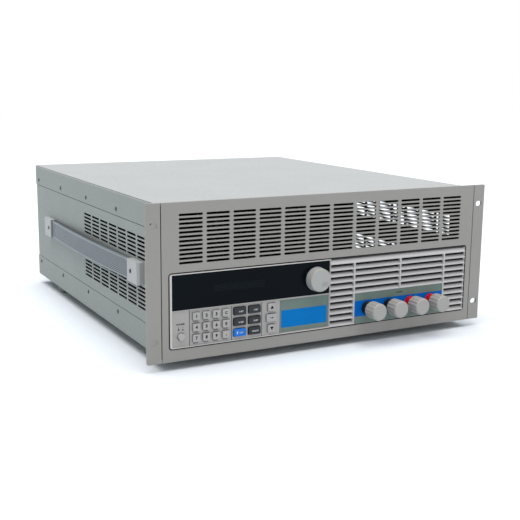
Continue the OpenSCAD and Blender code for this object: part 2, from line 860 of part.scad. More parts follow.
module handle_straps() {
  color([0.52, 0.55, 0.60]) place() both_sides() handle_strap();
}

// Control fascia

module key_outline(k, grow) {
  translate([k[1], k[2]]) round_rect(k[3] + 2 * grow, k[4] + 2 * grow, key_corner_r + grow);
}

module front_bezel() {
  left = -fascia_half;
  right = -split;
  boss_r = 3;
  ledge = window_ledge;
  color([0.67, 0.66, 0.66]) place() difference() {
    union() {
      along_y(fascia_y, fascia_back) {
        round_span(left, right, fascia_z, fascia_top, fascia_corner_r);
        translate([right - fascia_corner_r * 2, fascia_z]) square([fascia_corner_r * 2, fascia_h]);
      }
      block(left - fascia_lap, right, panel_t, fascia_back, fascia_z - fascia_lap, fascia_top + fascia_lap);
      for (x = [number_left + boss_r, arrow_left, right - 2 * boss_r], z = [fascia_z - 0.4, fascia_top + 0.4])
        rod_y(x, z, boss_r - 0.6, fascia_back - cut, board_y);
    }
    block(deck_left, deck_right, fascia_y - cut, window_back, window_z, window_z + window_h);
    block(deck_left + ledge, deck_right - ledge, fascia_y - cut, fascia_back + cut,
          window_z + ledge, window_z + window_h - ledge);
    block(deck_left, deck_right, fascia_y - cut, deck_y, deck_z, deck_z + deck_h);
    block(number_left + 0.5, deck_right - 1, deck_back, fascia_back + cut, deck_z + 1, deck_z + deck_h - 1);
    block(label_left + groove_w, deck_right - groove_w, deck_y - cut, deck_y + label_recess,
          deck_z + groove_w, deck_z + deck_h - groove_w);
    for (x = [number_left, function_left, arrow_left, label_left])
      block(x - groove_w / 2, x + groove_w / 2, deck_y - cut, deck_y + groove_d, deck_z, deck_z + deck_h);
    for (k = KEYS) along_y(deck_y - cut, deck_back + cut) key_outline(k, key_gap);
    rod_y(power_x, power_z, power_r + key_gap, deck_y - cut, fascia_back + cut);
  }
}

module display_window() {
  c = window_clear;
  color([0.05, 0.07, 0.09]) place() difference() {
    block(deck_left + c, deck_right - c, window_y, window_back, window_z + c, window_z + window_h - c);
    rod_y(encoder_x, encoder_z, bushing_r + 0.4, window_y - cut, window_back + cut);
  }
}

module keypad_mat() {
  edge = 1.6;
  hole_r = key_stem_r + 0.5;
  mat_y = board_y - mat_t;
  color([0.30, 0.31, 0.32]) place() difference() {
    union() {
      block(number_left + edge, label_left, mat_y, board_y, deck_z + edge, deck_z + deck_h - edge);
      for (k = KEYS) rod_y(k[1], k[2], hole_r + 1.1, mat_y - dome_h, board_y - mat_t / 2);
    }
    for (k = KEYS) rod_y(k[1], k[2], hole_r, mat_y - dome_h - cut, board_y + cut);
  }
}

// Circuit board behind the fascia, with the display and the rotary encoder soldered to it
module front_board() {
  half = encoder_body / 2;
  color([0.10, 0.28, 0.16]) place() difference() {
    union() {
      block(number_left, -split - 2, board_y, board_y + board_t, fascia_z - fascia_lap, fascia_top + fascia_lap);
      block(encoder_x - half, encoder_x + half, encoder_y, board_y + board_t / 2,
            encoder_z - half, encoder_z + half);
      rod_y(encoder_x, encoder_z, bushing_r, knob_back + 0.5, encoder_y + cut);
      block(display_x - display_w / 2, display_x + display_w / 2, window_back + 1.6, board_y + board_t / 2,
            display_z - display_h / 2, display_z + display_h / 2);
    }
    rod_y(encoder_x, encoder_z, spindle_r + spindle_clear, knob_back - cut, board_y - 1);
  }
}

module power_switch() {
  half = 6.5;
  length = 28;
  bore_end = fascia_back + 8 + power_travel + 0.6;
  color([0.12, 0.12, 0.13]) place() difference() {
    block(power_x - half, power_x + half, fascia_back, fascia_back + length, power_z - half, power_z + half);
    rod_y(power_x, power_z, key_stem_r + 0.3, fascia_back - cut, bore_end);
  }
}

module power_button() {
  head_back = fascia_back - power_travel - 0.8;
  color([0.66, 0.66, 0.66]) place() translate([power_x, 0, power_z]) rotate([90, 0, 0]) rotate_extrude()
    polygon([
      [0, -fascia_back - 8], [key_stem_r, -fascia_back - 8], [key_stem_r, -head_back], [power_r, -head_back],
      [power_r, power_rise - deck_y - 0.6], [power_r - 0.6, power_rise - deck_y], [0, power_rise - deck_y]
    ]);
}

// One key: its cap through the deck, a flange behind it and a contact stem
module key(k) {
  is_number = k[1] < function_left;
  shade = k[0] == "key_shift" ? [0.08, 0.49, 0.88]
        : is_number || k[1] > arrow_left ? [0.66, 0.66, 0.65] : [0.20, 0.21, 0.22];
  top = deck_y - key_rise;
  color(shade) place() {
    along_y(top, key_back) key_outline(k, 0);
    along_y(key_flange_y, key_back) key_outline(k, key_gap + key_lap);
    rod_y(k[1], k[2], key_stem_r, key_back - key_flange_t / 2, stem_end);
  }
}

// Knob with its spindle: outline as radius against height above the spindle's inner end
module encoder_knob() {
  spindle_end = encoder_y + 3;
  hollow_r = bushing_r + 2;
  hollow_d = 4;
  face_r = knob_r - knob_taper;
  round_r = 1.2;
  face = spindle_end - knob_front;
  back = spindle_end - knob_back;
  color([0.70, 0.71, 0.70]) place() translate([encoder_x, spindle_end, encoder_z]) rotate([90, 0, 0])
    difference() {
      rotate_extrude() {
        polygon([
          [0, 0], [spindle_r, 0], [spindle_r, back + hollow_d], [hollow_r, back + hollow_d], [hollow_r, back],
          [knob_r, back], [face_r, face - round_r], [face_r - round_r, face - round_r], [0, face]
        ]);
        polygon([[0, face - round_r], [face_r - round_r, face - round_r], [face_r - round_r, face], [0, face]]);
        translate([face_r - round_r, face - round_r]) intersection() {
          circle(round_r);
          square(round_r);
        }
      }
      rotate([0, 0, -52]) translate([dimple_offset, 0, face + dimple_ball_r - 2]) sphere(dimple_ball_r);
    }
}

// Grille

// Section of one slat in y and z, its nose on the grille's face
module slat_outline(rise) {
  depth = slat_depth * rise / slat_rise;
  polygon([
    [0, 0], [slat_t * 1.1, 0], [depth + slat_t, rise], [depth, rise], [0, slat_nose]
  ]);
}

module louvre_slats() {
  end = 0.6;
  top_gap = 0.9;
  for (i = [0:slat_count - 1]) {
    top_row = i == slat_count - 1;
    rise = top_row ? fascia_top - slat_z - i * slat_pitch - top_gap : slat_rise;
    depth_limit = top_row ? slat_rise / rise : 1;
    translate([0, fascia_y, slat_z + i * slat_pitch]) {
      if (i >= field_rows) along_x(split, fascia_half - end) scale([depth_limit, 1]) slat_outline(rise);
      if (i < field_rows) {
        along_x(split, field_left + end) slat_outline(rise);
        along_x(field_right - end, fascia_half - end) slat_outline(rise);
      }
    }
  }
}

// Frame of the grille, open over the top slat, with a hidden flange behind the panel
module grille_frame() {
  wall = 1.2;
  lap = fascia_lap;
  difference() {
    union() {
      along_y(fascia_y + 1.4, grille_back) {
        round_span(split, fascia_half, fascia_z, fascia_top, fascia_corner_r);
        translate([split, fascia_z]) square([fascia_corner_r * 2, fascia_h]);
      }
      block(split, fascia_half + lap, panel_t, grille_back, fascia_z - lap, fascia_top + lap);
    }
    block(split + wall, fascia_half - wall, fascia_y, grille_back + cut, fascia_z + wall, fascia_top + 0.4);
  }
}

module louvre_grille() {
  top_slat_z = slat_z + (slat_count - 1) * slat_pitch;
  color([0.68, 0.67, 0.67]) place() difference() {
    union() {
      louvre_slats();
      for (x = [field_left, field_right])
        block(x - divider_w / 2, x + divider_w / 2, fascia_y, grille_back, fascia_z, top_slat_z + slat_nose);
      block(grille_mid - divider_w / 2, grille_mid + divider_w / 2, fascia_y, grille_back,
            field_top, top_slat_z + slat_nose);
      block(field_left, field_right, field_y, field_back, fascia_z, field_top + slat_nose / 2);
      grille_frame();
    }
    for (x = TERMINALS) rod_y(x, terminal_z, collar_neck_r + 0.2, field_y - cut, field_back + cut);
  }
}

// Foam pad behind the slats, cut out round the terminals
module air_filter() {
  edge = fascia_lap - 1;
  color([0.04, 0.04, 0.05]) place() along_y(grille_back, grille_back + filter_t) difference() {
    translate([split, fascia_z - edge]) square([fascia_half + edge - split, fascia_h + 2 * edge]);
    translate([field_left, fascia_z - edge - cut]) square([field_w, field_top - fascia_z + edge + cut]);
  }
}

// Terminals

module terminal_posts() {
  color([0.80, 0.66, 0.34]) place() for (x = TERMINALS) {
    rod_y(x, terminal_z, stud_r, stud_front, bar_y + bar_t + nut_l + 3);
    translate([x, 0, terminal_z]) {
      along_y(field_back, bar_y) circle(nut_r, $fn = 6);
      along_y(bar_y + bar_t, bar_y + bar_t + nut_l) circle(nut_r, $fn = 6);
    }
  }
}

module collar(x) {
  difference() {
    union() {
      rod_y(x, terminal_z, collar_r, collar_front, field_y);
      rod_y(x, terminal_z, collar_neck_r, field_y - cut, field_back);
    }
    rod_y(x, terminal_z, stud_r + stud_clear, collar_front - cut, field_back + cut);
  }
}

module black_collars() {
  color([0.05, 0.05, 0.06]) place() for (i = [0, 1]) collar(TERMINALS[i]);
}

module red_collars() {
  color([0.70, 0.04, 0.05]) place() for (i = [2, 3]) collar(TERMINALS[i]);
}

module terminal_washer(x) {
  color([0.75, 0.75, 0.76]) place() difference() {
    rod_y(x, terminal_z, washer_r, washer_front, collar_front);
    rod_y(x, terminal_z, stud_r + 0.2, washer_front - cut, collar_front + cut);
  }
}

// Fluted hand cap: outline as radius against distance in front of its rear edge
module terminal_cap(x) {
  lead = 1.6;
  flute_r = cap_r * 0.18;
  recess = washer_t - cap_gap + 0.05;
  bore = cap_back - stud_front + 0.5;
  color([0.70, 0.70, 0.70]) place() translate([x, cap_back, terminal_z]) rotate([90, 0, 0]) difference() {
    rotate_extrude() polygon([
      [stud_r + stud_clear, recess], [washer_r + 0.4, recess], [washer_r + 0.4, 0], [cap_r - 0.5, 0],
      [cap_r, 0.5], [cap_r, cap_l - lead], [cap_r - lead * 0.4, cap_l - lead * 0.35], [cap_r - lead, cap_l],
      [0, cap_l], [0, bore], [stud_r + stud_clear, bore]
    ]);
    for (i = [0:cap_flutes - 1]) rotate([0, 0, i * 360 / cap_flutes])
      translate([cap_r + flute_r - flute_depth, 0, -cut]) cylinder(h = cap_l + 2 * cut, r = flute_r);
  }
}

// Bars from a pair of studs back under the fans to both power boards
module busbar(first, z, reach) {
  x_mid = (TERMINALS[first] + TERMINALS[first + 1]) / 2;
  plate_half = terminal_pitch / 2 + nut_r + 3;
  plate_top = terminal_z + nut_r + 3;
  branches = [-sink_x + reach, sink_x + reach];
  cross_end = max(x_mid, branches[1]) + bar_w / 2;
  difference() {
    union() {
      block(x_mid - plate_half, x_mid + plate_half, bar_y, bar_y + bar_t, z, plate_top);
      block(x_mid - bar_w / 2, x_mid + bar_w / 2, bar_y, cross_y + cross_w, z, z + bar_t);
      block(branches[0] - bar_w / 2, cross_end, cross_y, cross_y + cross_w, z, z + bar_t);
      for (x = branches) {
        block(x - bar_w / 2, x + bar_w / 2, cross_y, branch_end, z, z + bar_t);
        block(x - bar_w / 2, x + bar_w / 2, branch_end - bar_foot, branch_end, power_board_top, z + bar_t);
      }
    }
    for (i = [first, first + 1])
      rod_y(TERMINALS[i], terminal_z, stud_r + 0.2, bar_y - cut, bar_y + bar_t + cut);
  }
}

module busbars() {
  spread = sink_w / 4;
  color([0.72, 0.45, 0.28]) place() {
    busbar(0, bar_high_z, -spread);
    busbar(2, bar_low_z, spread);
  }
}

// Power stage

// Finned tunnel on two legs
module heat_sink() {
  fin_pitch = (sink_w - 2 * sink_wall) / (sink_fins + 1);
  along_y(sink_front, sink_back) difference() {
    translate([-sink_w / 2, floor_z]) square([sink_w, sink_top - floor_z]);
    translate([-sink_w / 2 + sink_wall, floor_z - cut]) square([sink_w - 2 * sink_wall, sink_leg_h + cut]);
    for (i = [0:sink_fins])
      translate([-sink_w / 2 + sink_wall + i * fin_pitch + (i == 0 ? 0 : fin_t / 2), tunnel_z + sink_wall])
        square([fin_pitch - (i == 0 || i == sink_fins ? fin_t / 2 : fin_t), tunnel_h - 2 * sink_wall]);
  }
}

module heat_sinks() {
  color([0.75, 0.76, 0.77]) place() both_sides() translate([sink_x, 0, 0]) heat_sink();
}

// Boards under the tunnels, their transistors against the tunnels' undersides
module power_boards() {
  package_w = 16;
  package_l = 5;
  half = sink_w / 2 - sink_wall - 2;
  color([0.12, 0.30, 0.18]) place() both_sides() translate([sink_x, 0, 0]) {
    block(-half, half, sink_front + 2, sink_back - 2, power_board_z, power_board_top);
    for (i = [-1:1], y = [sink_front + 2 + package_first : package_pitch : sink_back - 3 * package_l])
      block(i * half * 0.6 - package_w / 2, i * half * 0.6 + package_w / 2, y, y + package_l,
            power_board_top - board_t / 2, tunnel_z);
  }
}

module fan_frame() {
  half = fan_size / 2;
  strut = 5;
  hole = half - 7.5;
  difference() {
    along_y(fan_front, fan_back) round_rect(fan_size, fan_size, 4);
    rod_y(0, 0, duct_r, fan_front - cut, fan_back + cut);
    for (sx = [-1, 1], sz = [-1, 1]) rod_y(sx * hole, sz * hole, 2.2, fan_front - cut, fan_back + cut);
  }
  difference() {
    union() {
      rod_y(0, 0, fan_hub_r, rotor_back + 2, fan_back);
      for (a = [0:90:270]) rotate([0, a + 20, 0]) block(0, duct_r + 1, fan_back - 4, fan_back, -strut / 2, strut / 2);
    }
    rod_y(0, 0, fan_shaft_r / 2, fan_back - 1, fan_back + cut);
  }
  rod_y(0, 0, fan_shaft_r, rotor_front + 4, rotor_back + 3);
}

module fan_frames() {
  color([0.10, 0.10, 0.11]) place() both_sides() translate([sink_x, 0, fan_z]) fan_frame();
}

module fan_rotor() {
  blade_t = 1.8;
  chord = 34;
  pitch = 35;
  mid = (rotor_front + rotor_back) / 2;
  difference() {
    union() {
      rod_y(0, 0, fan_hub_r, rotor_front, rotor_back);
      intersection() {
        rod_y(0, 0, duct_r - fan_tip_gap, rotor_front, rotor_back);
        for (i = [0:fan_blades - 1]) rotate([0, i * 360 / fan_blades, 0]) translate([0, mid, 0])
          rotate([pitch, 0, 0]) block(fan_hub_r - 3, duct_r, -chord / 2, chord / 2, -blade_t / 2, blade_t / 2);
      }
    }
    rod_y(0, 0, fan_shaft_r + fan_clear, rotor_front + 3, rotor_back + cut);
  }
}

module fan_rotor_at(side) {
  color([0.14, 0.14, 0.15]) place() translate([side * sink_x, 0, fan_z]) fan_rotor();
}

// Control board on posts above the tunnels, with its two rear connectors
module control_board() {
  half = sink_x + sink_w / 2 - 10;
  front = sink_front + 10;
  back = rear_back - 2;
  color([0.11, 0.29, 0.17]) place() {
    block(-half, half, front, back, control_z, control_z + board_t);
    for (sx = [-1, 1], y = [front + 10, sink_back - 10])
      translate([sx * (half - 10), y, sink_top]) cylinder(h = control_z - sink_top, r = 3, $fn = 6);
    block(serial_x - serial_w / 2, serial_x + serial_w / 2, rear_back - connector_d, rear_face + 0.5,
          connector_z, connector_z + serial_h);
    along_y(rear_face, rear_face + serial_proud) translate([serial_x, serial_z]) polygon([
      [-serial_top_w / 2, serial_mouth_h / 2], [serial_top_w / 2, serial_mouth_h / 2],
      [serial_low_w / 2, -serial_mouth_h / 2], [-serial_low_w / 2, -serial_mouth_h / 2]
    ]);
    block(block_x - block_w / 2, block_x + block_w / 2, rear_back - connector_d, rear_face + serial_proud - 2,
          connector_z, connector_z + block_h);
  }
}

// Ring-core transformer clamped to the floor by a dished washer and a bolt
module transformer() {
  inner_r = toroid_r * 0.36;
  round_r = toroid_h / 4;
  x = -half_w + sheet_t + toroid_r + transformer_side;
  y = panel_t + transformer_front + toroid_r;
  color([0.70, 0.55, 0.16]) place() translate([x, y, floor_z]) {
    rotate_extrude() translate([(inner_r + toroid_r) / 2, toroid_h / 2])
      round_rect(toroid_r - inner_r, toroid_h, round_r);
    translate([0, 0, toroid_h]) cylinder(h = 2, r = toroid_r * 0.8);
    cylinder(h = toroid_h + toroid_bolt, r = 3);
  }
}

// Three-pin mains inlet in a screwed flange
module mains_inlet() {
  body_back = 24;
  mouth_w = 24.4;
  mouth_h = 16.8;
  slope = 4.6;
  depth = 17;
  pin_short = 5;
  front = rear_face + inlet_flange_t;
  color([0.07, 0.07, 0.08]) place() translate([inlet_x, 0, inlet_z]) {
    difference() {
      union() {
        along_y(rear_face, front) round_rect(inlet_flange_w, inlet_h + 6, 6);
        block(-inlet_w / 2, inlet_w / 2, rear_face - body_back, rear_face + 1, -inlet_h / 2, inlet_h / 2);
      }
      along_y(front - depth, front + cut) polygon([
        [-mouth_w / 2, -mouth_h / 2], [mouth_w / 2, -mouth_h / 2], [mouth_w / 2, mouth_h / 2 - slope],
        [mouth_w / 2 - slope, mouth_h / 2], [-mouth_w / 2 + slope, mouth_h / 2], [-mouth_w / 2, mouth_h / 2 - slope]
      ]);
      for (sx = [-1, 1]) rod_y(sx * 20, 0, 1.7, rear_face - cut, front + cut);
    }
    for (p = [[-7, -2], [0, 2], [7, -2]])
      block(p[0] - 1, p[0] + 1, front - depth - 1, front - pin_short, p[1] - 2, p[1] + 2);
  }
}

front_panel();
rack_ears();
side_panels();
rear_panel();
top_cover();
bottom_cover();
feet();
case_screws();
handle_caps();
handle_straps();
front_bezel();
louvre_grille();
display_window();
air_filter();
keypad_mat();
front_board();
power_switch();
power_button();
encoder_knob();
for (k = KEYS) key(k);
terminal_posts();
black_collars();
red_collars();
busbars();
for (i = [1:4]) terminal_washer(TERMINALS[i - 1]);
for (i = [1:4]) terminal_cap(TERMINALS[i - 1]);
heat_sinks();
power_boards();
fan_frames();
fan_rotor_at(-1);  // fan_rotor_left
fan_rotor_at(1);  // fan_rotor_right
control_board();
transformer();
mains_inlet();
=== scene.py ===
"""Looks of a rack-mount DC electronic load: paint, mouldings, prints, screws, light and camera."""
import math

import bmesh
import bpy
from mathutils import Matrix, Vector


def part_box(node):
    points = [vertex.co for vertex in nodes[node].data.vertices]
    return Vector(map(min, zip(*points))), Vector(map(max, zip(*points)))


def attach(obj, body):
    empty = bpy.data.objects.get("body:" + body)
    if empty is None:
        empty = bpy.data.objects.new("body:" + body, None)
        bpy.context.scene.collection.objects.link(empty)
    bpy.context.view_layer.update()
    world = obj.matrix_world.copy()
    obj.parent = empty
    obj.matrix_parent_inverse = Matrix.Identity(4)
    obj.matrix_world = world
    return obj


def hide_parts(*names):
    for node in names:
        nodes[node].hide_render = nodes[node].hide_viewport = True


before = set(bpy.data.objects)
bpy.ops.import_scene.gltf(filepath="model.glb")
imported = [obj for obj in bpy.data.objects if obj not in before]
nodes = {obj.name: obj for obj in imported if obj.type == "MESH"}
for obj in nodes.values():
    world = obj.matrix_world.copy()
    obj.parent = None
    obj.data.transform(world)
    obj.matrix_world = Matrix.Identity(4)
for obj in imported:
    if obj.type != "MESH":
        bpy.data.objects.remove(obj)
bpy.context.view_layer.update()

MM = 0.001
IMAGE_PX = 520

# Planes that the prints and fittings are laid on, taken from the CAD nodes
panel_low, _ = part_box("front_panel")
bezel_low, bezel_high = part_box("front_bezel")
window_low, window_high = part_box("display_window")
grille_low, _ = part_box("louvre_grille")
_, cover_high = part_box("top_cover")
side_low, side_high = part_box("side_panels")
floor_low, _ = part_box("bottom_cover")
_, rear_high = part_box("rear_panel")
FASCIA_LAP = 2.8 * MM
RIM_W = 1.1 * MM
DECK_H = 42 * MM
FIELD_PROUD = 0.2 * MM
PRINT_T = 0.05 * MM
FACE_Y = panel_low.y
REAR_Y = rear_high.y
FASCIA_Z = bezel_low.z + FASCIA_LAP
DECK_Y = FACE_Y
DECK_Z = FASCIA_Z + RIM_W
DECK_TOP = DECK_Z + DECK_H
FIELD_Y = FACE_Y - FIELD_PROUD

# Boxes in which painted light changes a finish: inside the fascia's rim, outside which a painted highlight
# pales the rim, behind its deck and deep between the grille's slats, where painted shade darkens the
# plastic, and inside the case, where painted shade darkens the sheets
REACH = 1.0
JOINT_DEPTH = 0.2 * MM
SLAT_FRONT = 3.3 * MM
SKIN = 0.5 * MM
PANEL_SKIN = 1.0 * MM
FAR_CORNER = Vector((REACH, REACH, REACH))
RIM_LOW = Vector((window_low.x, -REACH, DECK_Z))
RIM_HIGH = Vector((REACH, REACH, window_high.z))
JOINT_LOW = Vector((-REACH, DECK_Y + JOINT_DEPTH, -REACH))
SLAT_LOW = Vector((-REACH, grille_low.y + SLAT_FRONT, -REACH))
INSIDE_LOW = Vector((side_low.x + SKIN, FACE_Y + PANEL_SKIN, floor_low.z + SKIN))
INSIDE_HIGH = Vector((side_high.x - SKIN, REAR_Y - SKIN, cover_high.z - SKIN))

# Shares of the colour in those boxes, and over how much depth they change
# The rim's share is a painted highlight; the joint, slat and inside shares are painted shade
RIM_HIGHLIGHT_SHARE, JOINT_SHADE_SHARE, SLAT_SHADE_SHARE, INSIDE_SHADE_SHARE = 1.5, 0.25, 0.3, 0.12
SHARE_EDGE = 0.05 * MM


def linear(red, green, blue):
    """A colour picked on screen, 0 to 255, as Blender's linear values."""
    def one(v):
        v /= 255
        return v / 12.92 if v <= 0.04045 else ((v + 0.055) / 1.055) ** 2.4
    return (one(red), one(green), one(blue), 1.0)


def shaded(colour, factor):
    return tuple(min(1.0, c * factor) for c in colour[:3]) + (1.0,)


# Materials

# Most values of a noise texture lie between these two
NOISE_LOW, NOISE_HIGH = 0.3, 0.7
SATIN = 0.35
PAINT_DRIFT, PAINT_PATCH = 0.025, 14
# Depths below the cover's top over which its painted light fades in
LIT_TOP_FADE_START, LIT_TOP_FADE_END = 3 * MM, 0.5 * MM


class Finish:
    """A material under construction: one Principled shader on Object coordinates."""

    def __init__(self, name):
        self.material = bpy.data.materials.new(name)
        self.material.use_nodes = True
        self.tree = self.material.node_tree
        self.tree.nodes.clear()
        self.out = self.add("ShaderNodeOutputMaterial")
        self.shader = self.add("ShaderNodeBsdfPrincipled")
        self.link(self.shader, "BSDF", self.out, "Surface")
        self.place = self.add("ShaderNodeTexCoord")

    def add(self, kind, **settings):
        made = self.tree.nodes.new(kind)
        for key, value in settings.items():
            setattr(made, key, value)
        return made

    def link(self, source, output, target, slot):
        self.tree.links.new(source.outputs[output], target.inputs[slot])

    def set(self, **values):
        sockets = {"metal": "Metallic", "specular": "Specular IOR Level"}
        for key, value in values.items():
            self.shader.inputs[sockets[key]].default_value = value
        return self

    def span(self, source, output, low, high, to_low=0.0, to_high=1.0):
        """The source's values from low to high, spread over another range."""
        made = self.add("ShaderNodeMapRange")
        for slot, value in (("From Min", low), ("From Max", high), ("To Min", to_low), ("To Max", to_high)):
            made.inputs[slot].default_value = value
        self.link(source, output, made, "Value")
        return made

    def ramp(self, source, output, first, last, start=0.0, end=1.0):
        """The source's values from start to end as a run from one colour to another."""
        made = self.add("ShaderNodeValToRGB")
        for stop, place, colour in zip(made.color_ramp.elements, (start, end), (first, last)):
            stop.position = place
            stop.color = colour
        self.link(source, output, made, "Fac")
        return made

    def noise(self, scale, detail=2.0, stretch=None):
        made = self.add("ShaderNodeTexNoise")
        made.inputs["Scale"].default_value = scale
        made.inputs["Detail"].default_value = detail
        if stretch:
            turn = self.add("ShaderNodeMapping")
            turn.inputs["Scale"].default_value = stretch
            self.link(self.place, "Object", turn, "Vector")
            self.link(turn, "Vector", made, "Vector")
        else:
            self.link(self.place, "Object", made, "Vector")
        return made

    def tint(self, colour, spread, scale, detail=3.0, stretch=None):
        """Base colour that drifts a little either side of the given one."""
        drift = self.noise(scale, detail, stretch)
        pale, deep = shaded(colour, 1 + spread), shaded(colour, 1 - spread)
        mottle = self.ramp(drift, "Fac", deep, pale, NOISE_LOW, NOISE_HIGH)
        self.link(mottle, "Color", self.shader, "Base Color")
        return self

    def gloss(self, low, high, scale, stretch=None):
        """Roughness that varies between two values."""
        patch = self.noise(scale, stretch=stretch)
        rough = self.span(patch, "Fac", NOISE_LOW, NOISE_HIGH, low, high)
        self.link(rough, "Result", self.shader, "Roughness")
        return self

    def grain(self, scale, strength, depth, stretch=None, edge=0.0):
        """Fine bump of the given depth in metres, over edges softened by a radius in metres."""
        peel = self.noise(scale, stretch=stretch)
        bump = self.add("ShaderNodeBump")
        if edge:
            soft = self.add("ShaderNodeBevel", samples=4)
            soft.inputs["Radius"].default_value = edge
            self.link(soft, "Normal", bump, "Normal")
        bump.inputs["Strength"].default_value = strength
        bump.inputs["Distance"].default_value = depth
        self.link(peel, "Fac", bump, "Height")
        self.link(bump, "Normal", self.shader, "Normal")
        return self

    def share_by_box(self, low, high, inside, outside):
        """Two shares of the colour: one on what lies inside a box and one on the rest."""
        paint = self.shader.inputs["Base Color"].links[0]
        offset = self.add("ShaderNodeVectorMath", operation="SUBTRACT")
        offset.inputs[1].default_value = (low + high) / 2
        self.link(self.place, "Object", offset, 0)
        reach = self.add("ShaderNodeVectorMath", operation="ABSOLUTE")
        self.link(offset, "Vector", reach, 0)
        past = self.add("ShaderNodeVectorMath", operation="SUBTRACT")
        past.inputs[1].default_value = (high - low) / 2
        self.link(reach, "Vector", past, 0)
        axes = self.add("ShaderNodeSeparateXYZ")
        self.link(past, "Vector", axes, "Vector")
        wider = self.add("ShaderNodeMath", operation="MAXIMUM")
        self.link(axes, "X", wider, 0)
        self.link(axes, "Y", wider, 1)
        widest = self.add("ShaderNodeMath", operation="MAXIMUM")
        self.link(wider, "Value", widest, 0)
        self.link(axes, "Z", widest, 1)
        share = self.span(widest, "Value", 0, SHARE_EDGE, inside, outside)
        dim = self.add("ShaderNodeVectorMath", operation="SCALE")
        self.tree.links.new(paint.from_socket, dim.inputs["Vector"])
        self.link(share, "Result", dim, "Scale")
        self.link(dim, "Vector", self.shader, "Base Color")
        return self


def powder_coat(made):
    """Orange-peel surface of powder paint, with painted shade that darkens its colour inside the case."""
    made.gloss(low=0.46, high=0.6, scale=260)
    made.grain(scale=1500, strength=0.25, depth=0.06 * MM, edge=0.3 * MM)
    return made.share_by_box(INSIDE_LOW, INSIDE_HIGH, inside=INSIDE_SHADE_SHARE, outside=1).material


def powder_paint(name, colour):
    return powder_coat(Finish(name).set(specular=SATIN).tint(colour, PAINT_DRIFT, PAINT_PATCH))


def cover_paint(name, top, lip):
    """Powder paint with painted light: paler on the cover's top than on its lips, as if the top were lit
    more.
    """
    made = Finish(name).set(specular=SATIN)
    split = made.add("ShaderNodeSeparateXYZ")
    made.link(made.place, "Object", split, "Vector")
    rise = made.span(split, "Z", cover_high.z - LIT_TOP_FADE_START, cover_high.z - LIT_TOP_FADE_END)
    drift = made.noise(PAINT_PATCH, detail=3.0)
    grey = made.span(drift, "Fac", NOISE_LOW, NOISE_HIGH, 1 - PAINT_DRIFT, 1 + PAINT_DRIFT)
    mottle = made.add("ShaderNodeVectorMath", operation="SCALE")
    made.link(made.ramp(rise, "Result", lip, top), "Color", mottle, "Vector")
    made.link(grey, "Result", mottle, "Scale")
    made.link(mottle, "Vector", made.shader, "Base Color")
    return powder_coat(made)


def plastic(name, colour, rough=0.5, spread=0.02):
    """Finely grained moulded plastic, to which more may be added."""
    made = Finish(name).set(specular=SATIN)
    made.tint(colour, spread, scale=40).gloss(low=rough - 0.06, high=rough + 0.06, scale=500)
    return made.grain(scale=2600, strength=0.2, depth=0.03 * MM, edge=0.35 * MM)


def moulding(name, colour, rough=0.5, spread=0.02):
    return plastic(name, colour, rough, spread).material


def fascia_moulding(name, colour):
    """Plastic with painted light: a painted highlight that pales the rim round its front, and painted shade
    that darkens its joints behind its deck.
    """
    # Painted highlight: the rim round the front is made paler
    made = plastic(name, colour).share_by_box(RIM_LOW, RIM_HIGH, inside=1, outside=RIM_HIGHLIGHT_SHARE)
    # Painted shade: the plastic deeper than the deck's face, in its joints and key gaps, is darkened
    return made.share_by_box(JOINT_LOW, FAR_CORNER, inside=JOINT_SHADE_SHARE, outside=1).material


def grille_moulding(name, colour):
    """Plastic with painted shade: dark deep between the slats."""
    return plastic(name, colour).share_by_box(SLAT_LOW, FAR_CORNER, inside=SLAT_SHADE_SHARE, outside=1).material


def ink(name, colour):
    made = Finish(name).set(specular=0.08)
    return made.tint(colour, spread=0.03, scale=120).gloss(low=0.55, high=0.7, scale=900).material


def bare_metal(name, colour, rough, stretch=None):
    """Metal with fine scratches, drawn out along one axis by the stretch."""
    made = Finish(name).set(metal=1.0)
    made.tint(colour, spread=0.06, scale=180, stretch=stretch)
    made.gloss(low=rough - 0.08, high=rough + 0.1, scale=900, stretch=stretch)
    return made.grain(scale=1800, strength=0.15, depth=0.02 * MM, stretch=stretch).material


def tinted_window(name, colour):
    made = Finish(name).set(specular=0.06)
    return made.tint(colour, spread=0.12, scale=8).gloss(low=0.1, high=0.16, scale=60).material


def circuit_board(name, mask, bare):
    """Solder mask with paler copper pours showing through."""
    made = Finish(name).set(specular=0.4)
    cells = made.add("ShaderNodeTexVoronoi", feature="F1", distance="MANHATTAN")
    cells.inputs["Scale"].default_value = 160
    made.link(made.place, "Object", cells, "Vector")
    pours = made.ramp(cells, "Distance", bare, mask, start=0.35, end=0.42)
    made.link(pours, "Color", made.shader, "Base Color")
    return made.gloss(low=0.35, high=0.5, scale=300).material


def wound_core(name, tape, gap):
    """Tape wound round a ring core: bands that run round its section."""
    made = Finish(name).set(specular=0.4)
    bands = made.add("ShaderNodeTexWave", wave_type="BANDS", bands_direction="Z")
    bands.inputs["Scale"].default_value = 60
    bands.inputs["Distortion"].default_value = 3
    made.link(made.place, "Object", bands, "Vector")
    made.link(made.ramp(bands, "Fac", gap, tape), "Color", made.shader, "Base Color")
    return made.gloss(low=0.3, high=0.45, scale=200).material


PANEL_GREY = linear(144, 142, 138)
CASE_GREY = linear(134, 140, 137)
FASCIA_GREY = linear(160, 157, 155)

paint_panel = powder_paint("panel_paint", PANEL_GREY)
paint_case = powder_paint("case_paint", CASE_GREY)
# Painted light: the cover's top gets a paler colour than its lips, which keep the case's grey
paint_cover_lit_top = cover_paint("cover_paint", linear(155, 158, 158), CASE_GREY)
fascia_plastic = fascia_moulding("fascia_plastic", FASCIA_GREY)
grille_plastic = grille_moulding("grille_plastic", linear(184, 182, 182))
